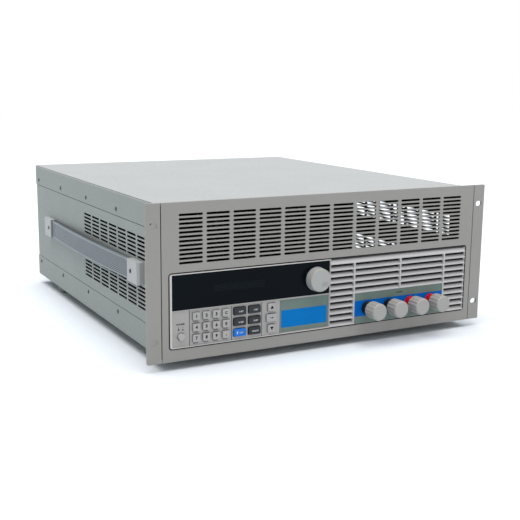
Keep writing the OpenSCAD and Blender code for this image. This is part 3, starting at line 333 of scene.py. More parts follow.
# Black for the ring that stands in for the shade in the fascia's gap
gap_shade_black = moulding("gap_shade_black", linear(10, 10, 11), 0.75)
knob_plastic = moulding("knob_plastic", linear(160, 160, 157), 0.42)
cap_plastic = moulding("cap_plastic", linear(156, 154, 151), 0.42)
grip_plastic = moulding("grip_plastic", linear(165, 167, 167), 0.45)
strap_plastic = moulding("strap_plastic", linear(120, 127, 134), 0.42, 0.03)
foot_rubber = moulding("foot_rubber", linear(122, 124, 122), 0.7, 0.05)
key_grey = moulding("key_grey", linear(164, 162, 160), 0.48)
key_dark = moulding("key_dark", linear(35, 38, 41), 0.48)
key_blue = moulding("key_blue", linear(0, 108, 200), 0.48)
black_plastic = moulding("black_plastic", linear(16, 16, 20), 0.45, 0.06)
red_plastic = moulding("red_plastic", linear(190, 8, 12), 0.38)
silicone = moulding("silicone", linear(26, 27, 29), 0.7)
filter_foam = moulding("filter_foam", linear(10, 10, 12), 0.9, 0.1)
window_tint = tinted_window("window_tint", linear(5, 12, 17))
screw_zinc = bare_metal("screw_zinc", linear(196, 198, 200), 0.34)
screw_dark = bare_metal("screw_dark", linear(104, 106, 110), 0.4)
stud_brass = bare_metal("stud_brass", linear(214, 182, 110), 0.3)
bar_copper = bare_metal("bar_copper", linear(196, 128, 88), 0.36, (1, 0.05, 1))
sink_aluminium = bare_metal("sink_aluminium", linear(186, 188, 190), 0.42, (1, 0.04, 1))
shell_tin = bare_metal("shell_tin", linear(206, 206, 204), 0.3)
board_green = circuit_board("board_green", linear(20, 70, 42), linear(32, 96, 58))
winding_tape = wound_core("winding_tape", linear(84, 66, 30), linear(56, 42, 18))
ink_black = ink("ink_black", linear(14, 15, 17))
ink_white = ink("ink_white", linear(196, 198, 202))
ink_blue = ink("ink_blue", linear(0, 111, 182))
ink_stripe = ink("ink_stripe", linear(0, 95, 182))
ink_field = ink("ink_field", linear(108, 124, 117))
ink_ghost = ink("ink_ghost", linear(24, 33, 36))
ink_caption = ink("ink_caption", linear(28, 28, 31))
block_green = moulding("block_green", linear(36, 130, 70), 0.45)

FINISHES = {
    "front_panel": paint_panel, "rack_ears": paint_panel, "side_panels": paint_case,
    "rear_panel": paint_case, "bottom_cover": paint_case, "top_cover": paint_cover_lit_top,
    "feet": foot_rubber, "case_screws": screw_zinc, "handle_caps": grip_plastic,
    "handle_straps": strap_plastic, "front_bezel": fascia_plastic, "louvre_grille": grille_plastic,
    "display_window": window_tint, "air_filter": filter_foam, "keypad_mat": silicone,
    "front_board": board_green, "power_switch": black_plastic, "power_button": key_grey,
    "encoder_knob": knob_plastic, "terminal_posts": stud_brass, "black_collars": black_plastic,
    "red_collars": red_plastic, "busbars": bar_copper, "heat_sinks": sink_aluminium,
    "power_boards": board_green, "fan_frames": black_plastic, "fan_rotor_left": black_plastic,
    "fan_rotor_right": black_plastic, "control_board": board_green, "transformer": winding_tape,
    "mains_inlet": black_plastic, "key_shift": key_blue,
}
for dark in ("key_amps", "key_volts", "key_watts", "key_ohms", "key_on_off"):
    FINISHES[dark] = key_dark
for name, part in nodes.items():
    finish = FINISHES.get(name)
    if finish is None:
        if name.startswith("terminal_cap"):
            finish = cap_plastic
        elif name.startswith("terminal_washer"):
            finish = screw_zinc
        else:
            finish = key_grey
    part.data.materials.clear()
    part.data.materials.append(finish)


# Mesh helpers

def piece(name, mesh, material, body):
    """A finished piece at the origin, riding on a body."""
    mesh.materials.clear()
    mesh.materials.append(material)
    made = bpy.data.objects.new(name, mesh)
    bpy.context.scene.collection.objects.link(made)
    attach(made, body)
    return made


def evaluated_mesh(thing):
    """The thing's mesh with its modifiers or curve resolved, as a plain mesh."""
    bpy.context.view_layer.update()
    graph = bpy.context.evaluated_depsgraph_get()
    return bpy.data.meshes.new_from_object(thing.evaluated_get(graph), depsgraph=graph)


STAND_UP = Matrix.Rotation(math.pi / 2, 4, "X")
WORD_WEIGHT, DIGIT_WEIGHT = 0.032, 0.052


def flat_outline(name, loops, y, thick):
    """A thin plate that faces the front, from closed x-z loops: its outline first, then its holes."""
    curve = bpy.data.curves.new(name, "CURVE")
    curve.dimensions = "2D"
    curve.fill_mode = "BOTH"
    curve.extrude = thick / 2
    for loop in loops:
        spline = curve.splines.new("POLY")
        spline.points.add(len(loop) - 1)
        for point, (x, z) in zip(spline.points, loop):
            point.co = (x, z, 0, 1)
        spline.use_cyclic_u = True
    helper = bpy.data.objects.new(name + "_curve", curve)
    bpy.context.scene.collection.objects.link(helper)
    mesh = evaluated_mesh(helper)
    bpy.data.objects.remove(helper)
    mesh.transform(Matrix.Translation((0, y - thick / 2, 0)) @ STAND_UP)
    return tidy_mesh(mesh)


def tidy_mesh(mesh):
    """Merge doubles and point the faces outwards."""
    work = bmesh.new()
    work.from_mesh(mesh)
    bmesh.ops.remove_doubles(work, verts=work.verts, dist=1e-7)
    bmesh.ops.recalc_face_normals(work, faces=work.faces)
    work.to_mesh(mesh)
    work.free()
    return mesh


def lettering(text, size, x, y, z, weight=WORD_WEIGHT):
    """Printed characters centred on x, z and standing on the face at y. Weight thickens their strokes."""
    curve = bpy.data.curves.new("print", "FONT")
    curve.body = text
    curve.size = size
    curve.align_x = "CENTER"
    curve.align_y = "CENTER"
    curve.extrude = PRINT_T / 2
    curve.offset = size * weight
    curve.resolution_u = 3
    helper = bpy.data.objects.new("print", curve)
    bpy.context.scene.collection.objects.link(helper)
    mesh = evaluated_mesh(helper)
    bpy.data.objects.remove(helper)
    xs = [v.co.x for v in mesh.vertices]
    ys = [v.co.y for v in mesh.vertices]
    middle = Vector(((min(xs) + max(xs)) / 2, (min(ys) + max(ys)) / 2, 0))
    mesh.transform(Matrix.Translation((x, y - PRINT_T / 2, z)) @ STAND_UP @ Matrix.Translation(-middle))
    return tidy_mesh(mesh)


def rectangle(x0, x1, z0, z1):
    return [(x0, z0), (x1, z0), (x1, z1), (x0, z1)]


def circle(x, z, r, count=48):
    return [(x + r * math.cos(2 * math.pi * i / count), z + r * math.sin(2 * math.pi * i / count))
            for i in range(count)]


def rounded(x0, x1, z0, z1, r, count=8):
    """Closed loop of a rectangle with round corners."""
    corners = ((x1 - r, z1 - r, 0), (x0 + r, z1 - r, 90), (x0 + r, z0 + r, 180), (x1 - r, z0 + r, 270))
    return [(x + r * math.cos(a), z + r * math.sin(a)) for x, z, start in corners
            for a in (math.radians(start + 90 * i / count) for i in range(count + 1))]


def joined(name, meshes):
    """Several plain meshes as one."""
    work = bmesh.new()
    for mesh in meshes:
        work.from_mesh(mesh)
    whole = bpy.data.meshes.new(name)
    work.to_mesh(whole)
    work.free()
    return whole


# Geometry node trees for what repeats

class Pattern:
    """A geometry node tree with named inputs, run once over a set of points."""

    def __init__(self, name):
        self.tree = bpy.data.node_groups.new(name, "GeometryNodeTree")
        self.tree.interface.new_socket("Points", in_out="INPUT", socket_type="NodeSocketGeometry")
        self.tree.interface.new_socket("Pieces", in_out="OUTPUT", socket_type="NodeSocketGeometry")
        self.inlet = self.add("NodeGroupInput")
        self.outlet = self.add("NodeGroupOutput")

    def add(self, kind, **settings):
        made = self.tree.nodes.new(kind)
        for key, value in settings.items():
            setattr(made, key, value)
        return made

    def link(self, source, output, target, slot):
        self.tree.links.new(source.outputs[output], target.inputs[slot])

    def size(self, name, value):
        socket = self.tree.interface.new_socket(name, in_out="INPUT", socket_type="NodeSocketFloat")
        socket.default_value = value

    def attribute(self, name, kind):
        made = self.add("GeometryNodeInputNamedAttribute", data_type=kind)
        made.inputs["Name"].default_value = name
        return made

    def close(self, shape, output):
        """Instance the shape on the points, turned and stretched by their own attributes."""
        finish = self.tree.interface.new_socket("Finish", in_out="INPUT", socket_type="NodeSocketMaterial")
        self.finish_id = finish.identifier
        spread = self.add("GeometryNodeInstanceOnPoints")
        turn = self.add("FunctionNodeEulerToRotation")
        self.link(self.inlet, "Points", spread, "Points")
        self.link(shape, output, spread, "Instance")
        self.link(self.attribute("turn", "FLOAT_VECTOR"), "Attribute", turn, "Euler")
        self.link(turn, "Rotation", spread, "Rotation")
        self.link(self.attribute("stretch", "FLOAT_VECTOR"), "Attribute", spread, "Scale")
        real = self.add("GeometryNodeRealizeInstances")
        coat = self.add("GeometryNodeSetMaterial")
        self.link(spread, "Instances", real, "Geometry")
        self.link(real, "Geometry", coat, "Geometry")
        self.link(self.inlet, "Finish", coat, "Material")
        self.link(coat, "Geometry", self.outlet, "Pieces")
        return self

    def run(self, name, points, material, body, slot):
        """points: (place, turn as an Euler or angles, stretch). Returns the finished piece."""
        base = bpy.data.meshes.new(name)
        base.from_pydata([p[0] for p in points], [], [])
        turns = base.attributes.new("turn", "FLOAT_VECTOR", "POINT")
        stretches = base.attributes.new("stretch", "FLOAT_VECTOR", "POINT")
        for i, (_, turn, stretch) in enumerate(points):
            turns.data[i].vector = tuple(turn)
            stretches.data[i].vector = stretch
        holder = bpy.data.objects.new(name + "_points", base)
        bpy.context.scene.collection.objects.link(holder)
        modifier = holder.modifiers.new("pattern", "NODES")
        modifier.node_group = self.tree
        modifier[self.finish_id] = material
        mesh = evaluated_mesh(holder)
        holder.modifiers.remove(modifier)
        bpy.data.objects.remove(holder)
        for leftover in ("turn", "stretch"):
            if leftover in mesh.attributes:
                mesh.attributes.remove(mesh.attributes[leftover])
        return piece(name, mesh, material, body)


def screw_pattern():
    """Countersunk head with a cross recess; its face lies on the point and looks along its own +Z."""
    p = Pattern("cross_head_screws")
    p.size("Head radius", 3.0 * MM)
    p.size("Shank radius", 1.5 * MM)
    p.size("Head height", 1.1 * MM)
    p.size("Recess length", 4.4 * MM)
    p.size("Recess width", 1.3 * MM)
    p.size("Recess depth", 0.9 * MM)
    head = p.add("GeometryNodeMeshCone")
    head.inputs["Vertices"].default_value = 28
    p.link(p.inlet, "Head radius", head, "Radius Top")
    p.link(p.inlet, "Shank radius", head, "Radius Bottom")
    p.link(p.inlet, "Head height", head, "Depth")
    drop = p.add("ShaderNodeMath", operation="MULTIPLY")
    drop.inputs[1].default_value = -1
    p.link(p.inlet, "Head height", drop, 0)
    lower = p.add("ShaderNodeCombineXYZ")
    p.link(drop, 0, lower, "Z")
    seat = p.add("GeometryNodeTransform")
    p.link(head, "Mesh", seat, "Geometry")
    p.link(lower, "Vector", seat, "Translation")
    deep = p.add("ShaderNodeMath", operation="MULTIPLY")
    deep.inputs[1].default_value = 2
    p.link(p.inlet, "Recess depth", deep, 0)
    cutters = p.add("GeometryNodeJoinGeometry")
    for along, across in (("X", "Y"), ("Y", "X")):
        span = p.add("ShaderNodeCombineXYZ")
        p.link(p.inlet, "Recess length", span, along)
        p.link(p.inlet, "Recess width", span, across)
        p.link(deep, 0, span, "Z")
        bar = p.add("GeometryNodeMeshCube")
        p.link(span, "Vector", bar, "Size")
        p.link(bar, "Mesh", cutters, "Geometry")
    carve = p.add("GeometryNodeMeshBoolean", operation="DIFFERENCE", solver="EXACT")
    p.link(seat, "Geometry", carve, "Mesh 1")
    p.link(cutters, "Geometry", carve, "Mesh 2")
    return p.close(carve, "Mesh")


def bar_pattern():
    """Thin printed bar; its stretch is its size in metres."""
    p = Pattern("printed_bars")
    bar = p.add("GeometryNodeMeshCube")
    bar.inputs["Size"].default_value = (1, 1, 1)
    return p.close(bar, "Mesh")


def peg_pattern():
    """Round peg along its own Z; its stretch is its diameter twice and its length."""
    p = Pattern("round_pegs")
    peg = p.add("GeometryNodeMeshCylinder")
    peg.inputs["Vertices"].default_value = 24
    peg.inputs["Radius"].default_value = 0.5
    peg.inputs["Depth"].default_value = 1
    return p.close(peg, "Mesh")


screws = screw_pattern()
bars = bar_pattern()
pegs = peg_pattern()

NO_TURN = (0, 0, 0)


def face_out(direction):
    """Turn that points a piece's own +Z along a direction."""
    return Vector(direction).to_track_quat("Z", "Y").to_euler()


# Screws: one head on each CAD screw

def screw_places():
    """Face centres of the CAD screws, read from the solids' loose parts."""
    mesh = nodes["case_screws"].data.copy()
    work = bmesh.new()
    work.from_mesh(mesh)
    bmesh.ops.remove_doubles(work, verts=work.verts, dist=1e-6)
    unseen = set(work.verts)
    found = []
    while unseen:
        stack = [unseen.pop()]
        group = []
        while stack:
            vert = stack.pop()
            group.append(vert.co.copy())
            for edge in vert.link_edges:
                other = edge.other_vert(vert)
                if other in unseen:
                    unseen.remove(other)
                    stack.append(other)
        low = Vector([min(c[i] for c in group) for i in range(3)])
        high = Vector([max(c[i] for c in group) for i in range(3)])
        middle = (low + high) / 2
        span = high - low
        along_x = span.x > span.y
        if along_x:
            out = Vector((1 if middle.x > 0 else -1, 0, 0))
            face = Vector((high.x if middle.x > 0 else low.x, middle.y, middle.z))
        else:
            out = Vector((0, 1, 0))
            face = Vector((middle.x, high.y, middle.z))
        found.append((face, out))
    work.free()
    bpy.data.meshes.remove(mesh)
    return sorted(found, key=lambda s: tuple(round(c, 4) for c in s[0]))


ONE = (1, 1, 1)
heads = screws.run("screw_heads", [(face, face_out(out), ONE) for face, out in screw_places()],
                   screw_dark, "root", "screw_steel")
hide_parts("case_screws")


# Key legends

def face_middle(node):
    """Middle of a node's front face."""
    low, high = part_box(node)
    return (low.x + high.x) / 2, low.y, (low.z + high.z) / 2


def legend(key, meshes, material):
    piece(key + "_legend", joined(key + "_legend", meshes), material, key)


def outline_print(name, points, x, y, z):
    """Flat print of an outline given in millimetres about x, z."""
    return flat_outline(name, [[(x + dx * MM, z + dz * MM) for dx, dz in points]], y, PRINT_T)


# Sizes of the legends and their offsets from the middle of a key
DIGIT_SIZE, ESCAPE_SIZE = 5.0 * MM, 4.4 * MM
DIGIT_RISE = 0.2 * MM
POINT_R, POINT_DROP = 0.7 * MM, 0.8 * MM
SHIFT_SIZE, SHIFT_RIGHT, SHIFT_DROP, ARROW_LEFT = 2.0 * MM, 1.6 * MM, 0.2 * MM, 3.6 * MM
WEDGE_RIGHT, WEDGE_OUT = 0.3 * MM, 0.2 * MM

# Key, its word, then in millimetres the word's size and how far right and up it stands
KEY_WORDS = (
    ("key_amps", "A-SET", 2.3, 1.2, -0.5),
    ("key_volts", "V-SET", 2.3, 1.2, -0.5),
    ("key_watts", "W-SET", 2.3, 1.2, -0.5),
    ("key_ohms", "Ω-SET", 2.3, 1.2, -0.5),
    ("key_on_off", "ON/OFF", 2.4, 0.6, -0.4),
)

# Outlines in millimetres about their middle
ARROW = ((-0.5, -1.9), (0.5, -1.9), (0.5, 0.3), (1.3, 0.3), (0, 2.0), (-1.3, 0.3), (-0.5, 0.3))
ENTER = ((-2.2, -0.35), (0.6, -0.35), (0.6, -1.2), (2.4, 0), (0.6, 1.2), (0.6, 0.35), (-2.2, 0.35))
WEDGE_UP = ((-2.45, -2.1), (2.45, -2.1), (0, 2.1))
WEDGE_DOWN = ((-2.45, 2.1), (2.45, 2.1), (0, -2.1))

for digit in "1234567890":
    x, y, z = face_middle("key_" + digit)
    number = lettering(digit, DIGIT_SIZE, x, y, z + DIGIT_RISE, DIGIT_WEIGHT)
    legend("key_" + digit, [number], ink_black)
x, y, z = face_middle("key_point")
dot = flat_outline("dot", [circle(x, z - POINT_DROP, POINT_R, 20)], y, PRINT_T)
legend("key_point", [dot], ink_black)
x, y, z = face_middle("key_escape")
escape = lettering("C", ESCAPE_SIZE, x, y, z + DIGIT_RISE, DIGIT_WEIGHT)
legend("key_escape", [escape], ink_black)
for key, word, size, right, up in KEY_WORDS:
    x, y, z = face_middle(key)
    legend(key, [lettering(word, size * MM, x + right * MM, y, z + up * MM)], ink_white)
x, y, z = face_middle("key_shift")
arrow = outline_print("arrow", ARROW, x - ARROW_LEFT, y, z)
shift = lettering("SHIFT", SHIFT_SIZE, x + SHIFT_RIGHT, y, z - SHIFT_DROP)
legend("key_shift", [arrow, shift], ink_white)
x, y, z = face_middle("key_up")
up = outline_print("wedge_up", WEDGE_UP, x + WEDGE_RIGHT, y, z + WEDGE_OUT)
legend("key_up", [up], ink_black)
x, y, z = face_middle("key_down")
down = outline_print("wedge_down", WEDGE_DOWN, x + WEDGE_RIGHT, y, z - WEDGE_OUT)
legend("key_down", [down], ink_black)
x, y, z = face_middle("key_enter")
legend("key_enter", [outline_print("enter", ENTER, x, y, z)], ink_black)


# Painted shade: a dark ring in the gap between the fascia and the panel, standing in for the shade there

GAP_SHADE_IN, GAP_SHADE_OUT = 0.06 * MM, 1.44 * MM
GAP_SHADE_BACK, GAP_SHADE_DEPTH = 2.9 * MM, 2.6 * MM
FASCIA_CORNER_R = 2.5 * MM
fascia_x = -(bezel_low.x + FASCIA_LAP)
fascia_top = bezel_high.z - FASCIA_LAP


def fascia_loop(grow):
    """The fascia's outline, grown on all sides."""
    return rounded(-fascia_x - grow, fascia_x + grow, FASCIA_Z - grow, fascia_top + grow,
                   FASCIA_CORNER_R + grow)


gap_shade_loops = [fascia_loop(GAP_SHADE_OUT), fascia_loop(GAP_SHADE_IN)]
gap_shade_ring = flat_outline("fascia_gap_shade", gap_shade_loops, FACE_Y + GAP_SHADE_BACK, GAP_SHADE_DEPTH)
piece("fascia_gap_shade", gap_shade_ring, gap_shade_black, "root")


# Prints on the fascia

STROKE_SHARE, SHORT_STROKE = 0.58, 0.8


def bar_at(x, y, z, w, h):
    return ((x, y - PRINT_T / 2, z), NO_TURN, (w, PRINT_T, h))


def small_print(x, y, z, w, h, strokes):
    """A row of short strokes in place of a caption too small to read."""
    pitch = w / strokes
    first = x - (strokes - 1) / 2 * pitch
    return [bar_at(first + i * pitch, y, z, pitch * STROKE_SHARE, h * (1 if i % 2 else SHORT_STROKE))
            for i in range(strokes)]


CAPTION_W, CAPTION_H, CAPTION_STROKES = 6.4 * MM, 1.3 * MM, 5
CAPTION_LEFT, CAPTION_DROP = 0.3 * MM, 6.0 * MM
POWER_SIZE, POWER_RISE = 2.9 * MM, 14.4 * MM

# Marks over the power button, in millimetres: right and up from its middle, width, height
POWER_MARKS = (
    (-2.6, 10.6, 0.4, 2.2), (2.6, 7.4, 2.6, 0.5), (2.6, 8.2, 1.2, 0.9),
    (2.6, 10.6, 0.4, 2.0), (-2.6, 7.4, 2.6, 0.5), (-2.6, 8.7, 1.2, 1.6),
)

captions = []
for key in ["key_" + d for d in "1234567890"] + ["key_point", "key_escape"]:
    x, y, z = face_middle(key)
    captions += small_print(x - CAPTION_LEFT, DECK_Y, z - CAPTION_DROP,
                            CAPTION_W, CAPTION_H, CAPTION_STROKES)
power_x, _, power_z = face_middle("power_button")
power_word = lettering("POWER", POWER_SIZE, power_x, DECK_Y, power_z + POWER_RISE)
piece("power_caption", power_word, ink_caption, "root")
for right, up, w, h in POWER_MARKS:
    captions.append(bar_at(power_x + right * MM, DECK_Y, power_z + up * MM, w * MM, h * MM))
bars.run("deck_captions", captions, ink_caption, "root", "key_dark")

# Widths of the deck's zones from the left: rim, power button, numbers, functions, arrows
DECK_ZONES = (2.4 * MM, 21.6 * MM, 53.9 * MM, 40 * MM, 25.2 * MM)
LABEL_END = 1.2 * MM
LABEL_RECESS, LABEL_EDGE = 0.5 * MM, 0.9 * MM
BLUE_LEFT, BLUE_RIGHT, BLUE_LOW, BLUE_HIGH = 2.0 * MM, 2.6 * MM, 6.5 * MM, 28.2 * MM
label_x0 = bezel_low.x + FASCIA_LAP + sum(DECK_ZONES)
label_x1 = bezel_high.x - LABEL_END
label_y = DECK_Y + LABEL_RECESS
label = rectangle(label_x0 + LABEL_EDGE, label_x1 - LABEL_EDGE, DECK_Z + LABEL_EDGE, DECK_TOP - LABEL_EDGE)
field = flat_outline("label_field", [label], label_y, PRINT_T)
piece("label_field", field, ink_field, "root")
patch = rectangle(label_x0 + BLUE_LEFT, label_x1 - BLUE_RIGHT, DECK_Z + BLUE_LOW, DECK_Z + BLUE_HIGH)
blue = flat_outline("label_blue", [patch], label_y - PRINT_T, PRINT_T)
piece("label_blue", blue, ink_blue, "root")

# Terminal field: its rows of slats set its height
FIELD_W, FIELD_EDGE = 141.9 * MM, 1.15 * MM
FIELD_ROWS, SLAT_PITCH, SLAT_START = 5, 7.9 * MM, 0.26 * MM
FIELD_LOW, FIELD_TOP_GAP = 0.2 * MM, 0.05 * MM
STRIPE_LOW, STRIPE_HIGH = 9.1 * MM, 29.7 * MM
COLLAR_CLEAR = 0.05 * MM
INPUT_W, INPUT_H, INPUT_STROKES = 10.5 * MM, 2.0 * MM, 5
FIELD_HIGH = SLAT_START + FIELD_ROWS * SLAT_PITCH - FIELD_TOP_GAP

terminal_places = []
for number in range(1, 5):
    x, _, z = face_middle(f"terminal_cap_{number}")
    terminal_places.append((x, z))
collar_low, collar_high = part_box("black_collars")
collar_r = (collar_high.z - collar_low.z) / 2 + COLLAR_CLEAR
grille_mid = (terminal_places[0][0] + terminal_places[3][0]) / 2
field_half = FIELD_W / 2 - FIELD_EDGE


def field_band(name, low, high, holes, material):
    """A printed band across the terminal field."""
    edge = rectangle(grille_mid - field_half, grille_mid + field_half, FASCIA_Z + low, FASCIA_Z + high)
    piece(name, flat_outline(name, [edge] + holes, FIELD_Y, PRINT_T), material, "root")


field_band("terminal_field_lower", FIELD_LOW, STRIPE_LOW, [], ink_field)
field_band("terminal_field_upper", STRIPE_HIGH, FIELD_HIGH, [], ink_field)
collar_holes = [circle(x, z, collar_r) for x, z in terminal_places]
field_band("terminal_stripe", STRIPE_LOW, STRIPE_HIGH, collar_holes, ink_stripe)
input_z = FASCIA_Z + (STRIPE_HIGH + FIELD_HIGH) / 2
input_strokes = small_print(grille_mid, FIELD_Y - PRINT_T, input_z, INPUT_W, INPUT_H, INPUT_STROKES)
bars.run("terminal_caption", input_strokes, ink_caption, "root", "key_dark")

# Unlit characters behind the window
CHAR_COUNT, CHAR_PITCH = 13, 5.2 * MM
CHAR_W, CHAR_H, SEGMENT_T = 3.0 * MM, 7.4 * MM, 0.45 * MM
SEGMENT_GAP, LEVEL_GAP = 0.5 * MM, 0.6 * MM
CHAR_RIGHT, CHAR_UP = 54 * MM, 21.5 * MM
row_x = window_low.x + CHAR_RIGHT
row_z = window_low.z + CHAR_UP
segments = []
for column in range(CHAR_COUNT):
    char_x = row_x + column * CHAR_PITCH
    for side in (-1, 1):
        for half in (-1, 1):
            segments.append(bar_at(char_x + side * CHAR_W / 2, window_low.y, row_z + half * CHAR_H / 4,
                                   SEGMENT_T, CHAR_H / 2 - SEGMENT_GAP))
    for level in (-1, 0, 1):
        segments.append(bar_at(char_x, window_low.y, row_z + level * CHAR_H / 2,
                               CHAR_W - LEVEL_GAP, SEGMENT_T))
bars.run("display_characters", segments, ink_ghost, "root", "window_tint")


# Rear connectors

_, board_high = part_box("control_board")
inlet_low, inlet_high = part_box("mains_inlet")
LIE_BACK = face_out((0, 1, 0))
CONNECTOR_DROP = 13.0 * MM
connector_z = board_high.z - CONNECTOR_DROP

# Serial connector: shell, insert, two rows of sockets, jack posts
SERIAL_X, SERIAL_UP = -79.0 * MM, 6.2 * MM
SHELL_TOP, SHELL_LOW, SHELL_H, SHELL_T = 9.2 * MM, 7.6 * MM, 4.2 * MM, 0.35 * MM
FLANGE_W, FLANGE_H, FLANGE_FACE, FLANGE_T = 15.4 * MM, 6.1 * MM, 0.8 * MM, 0.3 * MM
SHELL_FACE, SKIRT_DEPTH = 6.0 * MM, 5.4 * MM
INSERT_CLEAR, INSERT_T = 0.05 * MM, 0.2 * MM
SOCKET_PITCH, SOCKET_ROW, SOCKET_FACE = 2.76 * MM, 1.42 * MM, 5.95 * MM
SOCKET_SIZE = (1.2 * MM, 1.2 * MM, 0.3 * MM)
JACK_X, JACK_FACE, JACK_SIZE = 12.5 * MM, 2.8 * MM, (5 * MM, 5 * MM, 4 * MM)
serial_z = connector_z + SERIAL_UP


def shell_outline(grow):
    """Outline of the serial connector's shell, wider at the top."""
    half_top, half_low, half_h = SHELL_TOP + grow, SHELL_LOW + grow, SHELL_H + grow
    return [(SERIAL_X - half_low, serial_z - half_h), (SERIAL_X + half_low, serial_z - half_h),
            (SERIAL_X + half_top, serial_z + half_h), (SERIAL_X - half_top, serial_z + half_h)]


def socket_row(count, z):
    first = SERIAL_X - (count - 1) / 2 * SOCKET_PITCH
    return [((first + i * SOCKET_PITCH, REAR_Y + SOCKET_FACE, z), LIE_BACK, SOCKET_SIZE)
            for i in range(count)]


flange = rectangle(SERIAL_X - FLANGE_W, SERIAL_X + FLANGE_W, serial_z - FLANGE_H, serial_z + FLANGE_H)
shell_meshes = [
    flat_outline("serial_flange", [flange, shell_outline(0)], REAR_Y + FLANGE_FACE, FLANGE_T),
    flat_outline("serial_skirt", [shell_outline(SHELL_T), shell_outline(0)],
                 REAR_Y + SHELL_FACE, SKIRT_DEPTH),
]
piece("serial_shell", joined("serial_shell", shell_meshes), shell_tin, "root")
insert = flat_outline("serial_insert", [shell_outline(-INSERT_CLEAR)], REAR_Y + SHELL_FACE, INSERT_T)
piece("serial_insert", insert, black_plastic, "root")
sockets = socket_row(5, serial_z + SOCKET_ROW) + socket_row(4, serial_z - SOCKET_ROW)
pegs.run("serial_sockets", sockets, stud_brass, "root", "stud_brass")
jacks = [((SERIAL_X + side * JACK_X, REAR_Y + JACK_FACE, serial_z), LIE_BACK, JACK_SIZE)
         for side in (-1, 1)]
pegs.run("serial_jack_posts", jacks, screw_zinc, "root", "screw_steel")

# Terminal block: body, wire entries, clamp screws
BLOCK_X, BLOCK_UP = 79.0 * MM, 6.5 * MM
BLOCK_HALF_W, BLOCK_HALF_H = 21.05 * MM, 6.55 * MM
BLOCK_PROUD, BLOCK_SKIN, BLOCK_DEPTH = 4.0 * MM, 0.05 * MM, 3.9 * MM
WAY_COUNT, WAY_PITCH = 8, 5.0 * MM
ENTRY_FACE, ENTRY_DROP, ENTRY_SIZE = 0.06 * MM, 2.4 * MM, (3.0 * MM, 0.1 * MM, 3.2 * MM)
CLAMP_FACE, CLAMP_RISE, CLAMP_STRETCH = 0.15 * MM, 3.4 * MM, (0.5, 0.5, 0.3)
block_z = connector_z + BLOCK_UP
block_face = REAR_Y + BLOCK_PROUD
block_edge = rectangle(BLOCK_X - BLOCK_HALF_W, BLOCK_X + BLOCK_HALF_W,
                       block_z - BLOCK_HALF_H, block_z + BLOCK_HALF_H)
block_mesh = flat_outline("control_terminals", [block_edge], block_face + BLOCK_SKIN, BLOCK_DEPTH)
piece("control_terminals", block_mesh, block_green, "root")
ways = [BLOCK_X + (i - (WAY_COUNT - 1) / 2) * WAY_PITCH for i in range(WAY_COUNT)]
entries = [((x, block_face + ENTRY_FACE, block_z - ENTRY_DROP), NO_TURN, ENTRY_SIZE) for x in ways]
bars.run("control_terminal_entries", entries, ink_black, "root", "black_plastic")
clamps = [((x, block_face + CLAMP_FACE, block_z + CLAMP_RISE), LIE_BACK, CLAMP_STRETCH) for x in ways]
screws.run("control_terminal_screws", clamps, screw_zinc, "root", "screw_steel")

# Mains inlet: blades, right and up of its middle, and flange screws
BLADES = ((-7 * MM, -2 * MM), (0, 2 * MM), (7 * MM, -2 * MM))
BLADE_SIZE, BLADE_DEEP = (2.1 * MM, 11.9 * MM, 4.1 * MM), 10.9 * MM
FLANGE_SCREW_X, FLANGE_SCREW_STRETCH = 20 * MM, (0.56, 0.56, 1.0)
inlet_x = (inlet_low.x + inlet_high.x) / 2
inlet_z = (inlet_low.z + inlet_high.z) / 2
mouth_y = inlet_high.y
blades = [((inlet_x + right, mouth_y - BLADE_DEEP, inlet_z + up), NO_TURN, BLADE_SIZE)
          for right, up in BLADES]
bars.run("inlet_blades", blades, shell_tin, "root", "screw_steel")
flange_screws = [((inlet_x + side * FLANGE_SCREW_X, mouth_y, inlet_z), LIE_BACK, FLANGE_SCREW_STRETCH)
                 for side in (-1, 1)]
screws.run("inlet_screws", flange_screws, screw_zinc, "root", "screw_steel")


# Floor, surroundings, lamps and camera

FLOOR_HALF = 6
FLOOR_COLOUR = (0.72, 0.755, 0.795, 1)
WORLD_COLOUR, WORLD_STRENGTH = (0.97, 0.985, 1.0, 1), 0.48
WHITE = (1, 1, 1, 1)
SUN_STRENGTH, SUN_SPREAD, SUN_TILT, SUN_LEAN = 3.6, 60, 3, -6
SOFTBOX_PLACE, SOFTBOX_AIM = Vector((1.3, -2.4, 1.2)), Vector((0, -0.2, 0.1))
SOFTBOX_SIZE, SOFTBOX_POWER = 1.2, 7
CAMERA_AZIMUTH, CAMERA_ELEVATION, CAMERA_ROLL = -28.39, 11.17, 0.6
CAMERA_X, CAMERA_AHEAD, CAMERA_UP = -0.59573, 0.91976, 0.31589
LENS_PX, SENSOR_MM = 906.43, 36
NEAREST = 0.01


def added(name, data):
    """A new object in the scene."""
    made = bpy.data.objects.new(name, data)
    bpy.context.scene.collection.objects.link(made)
    return made


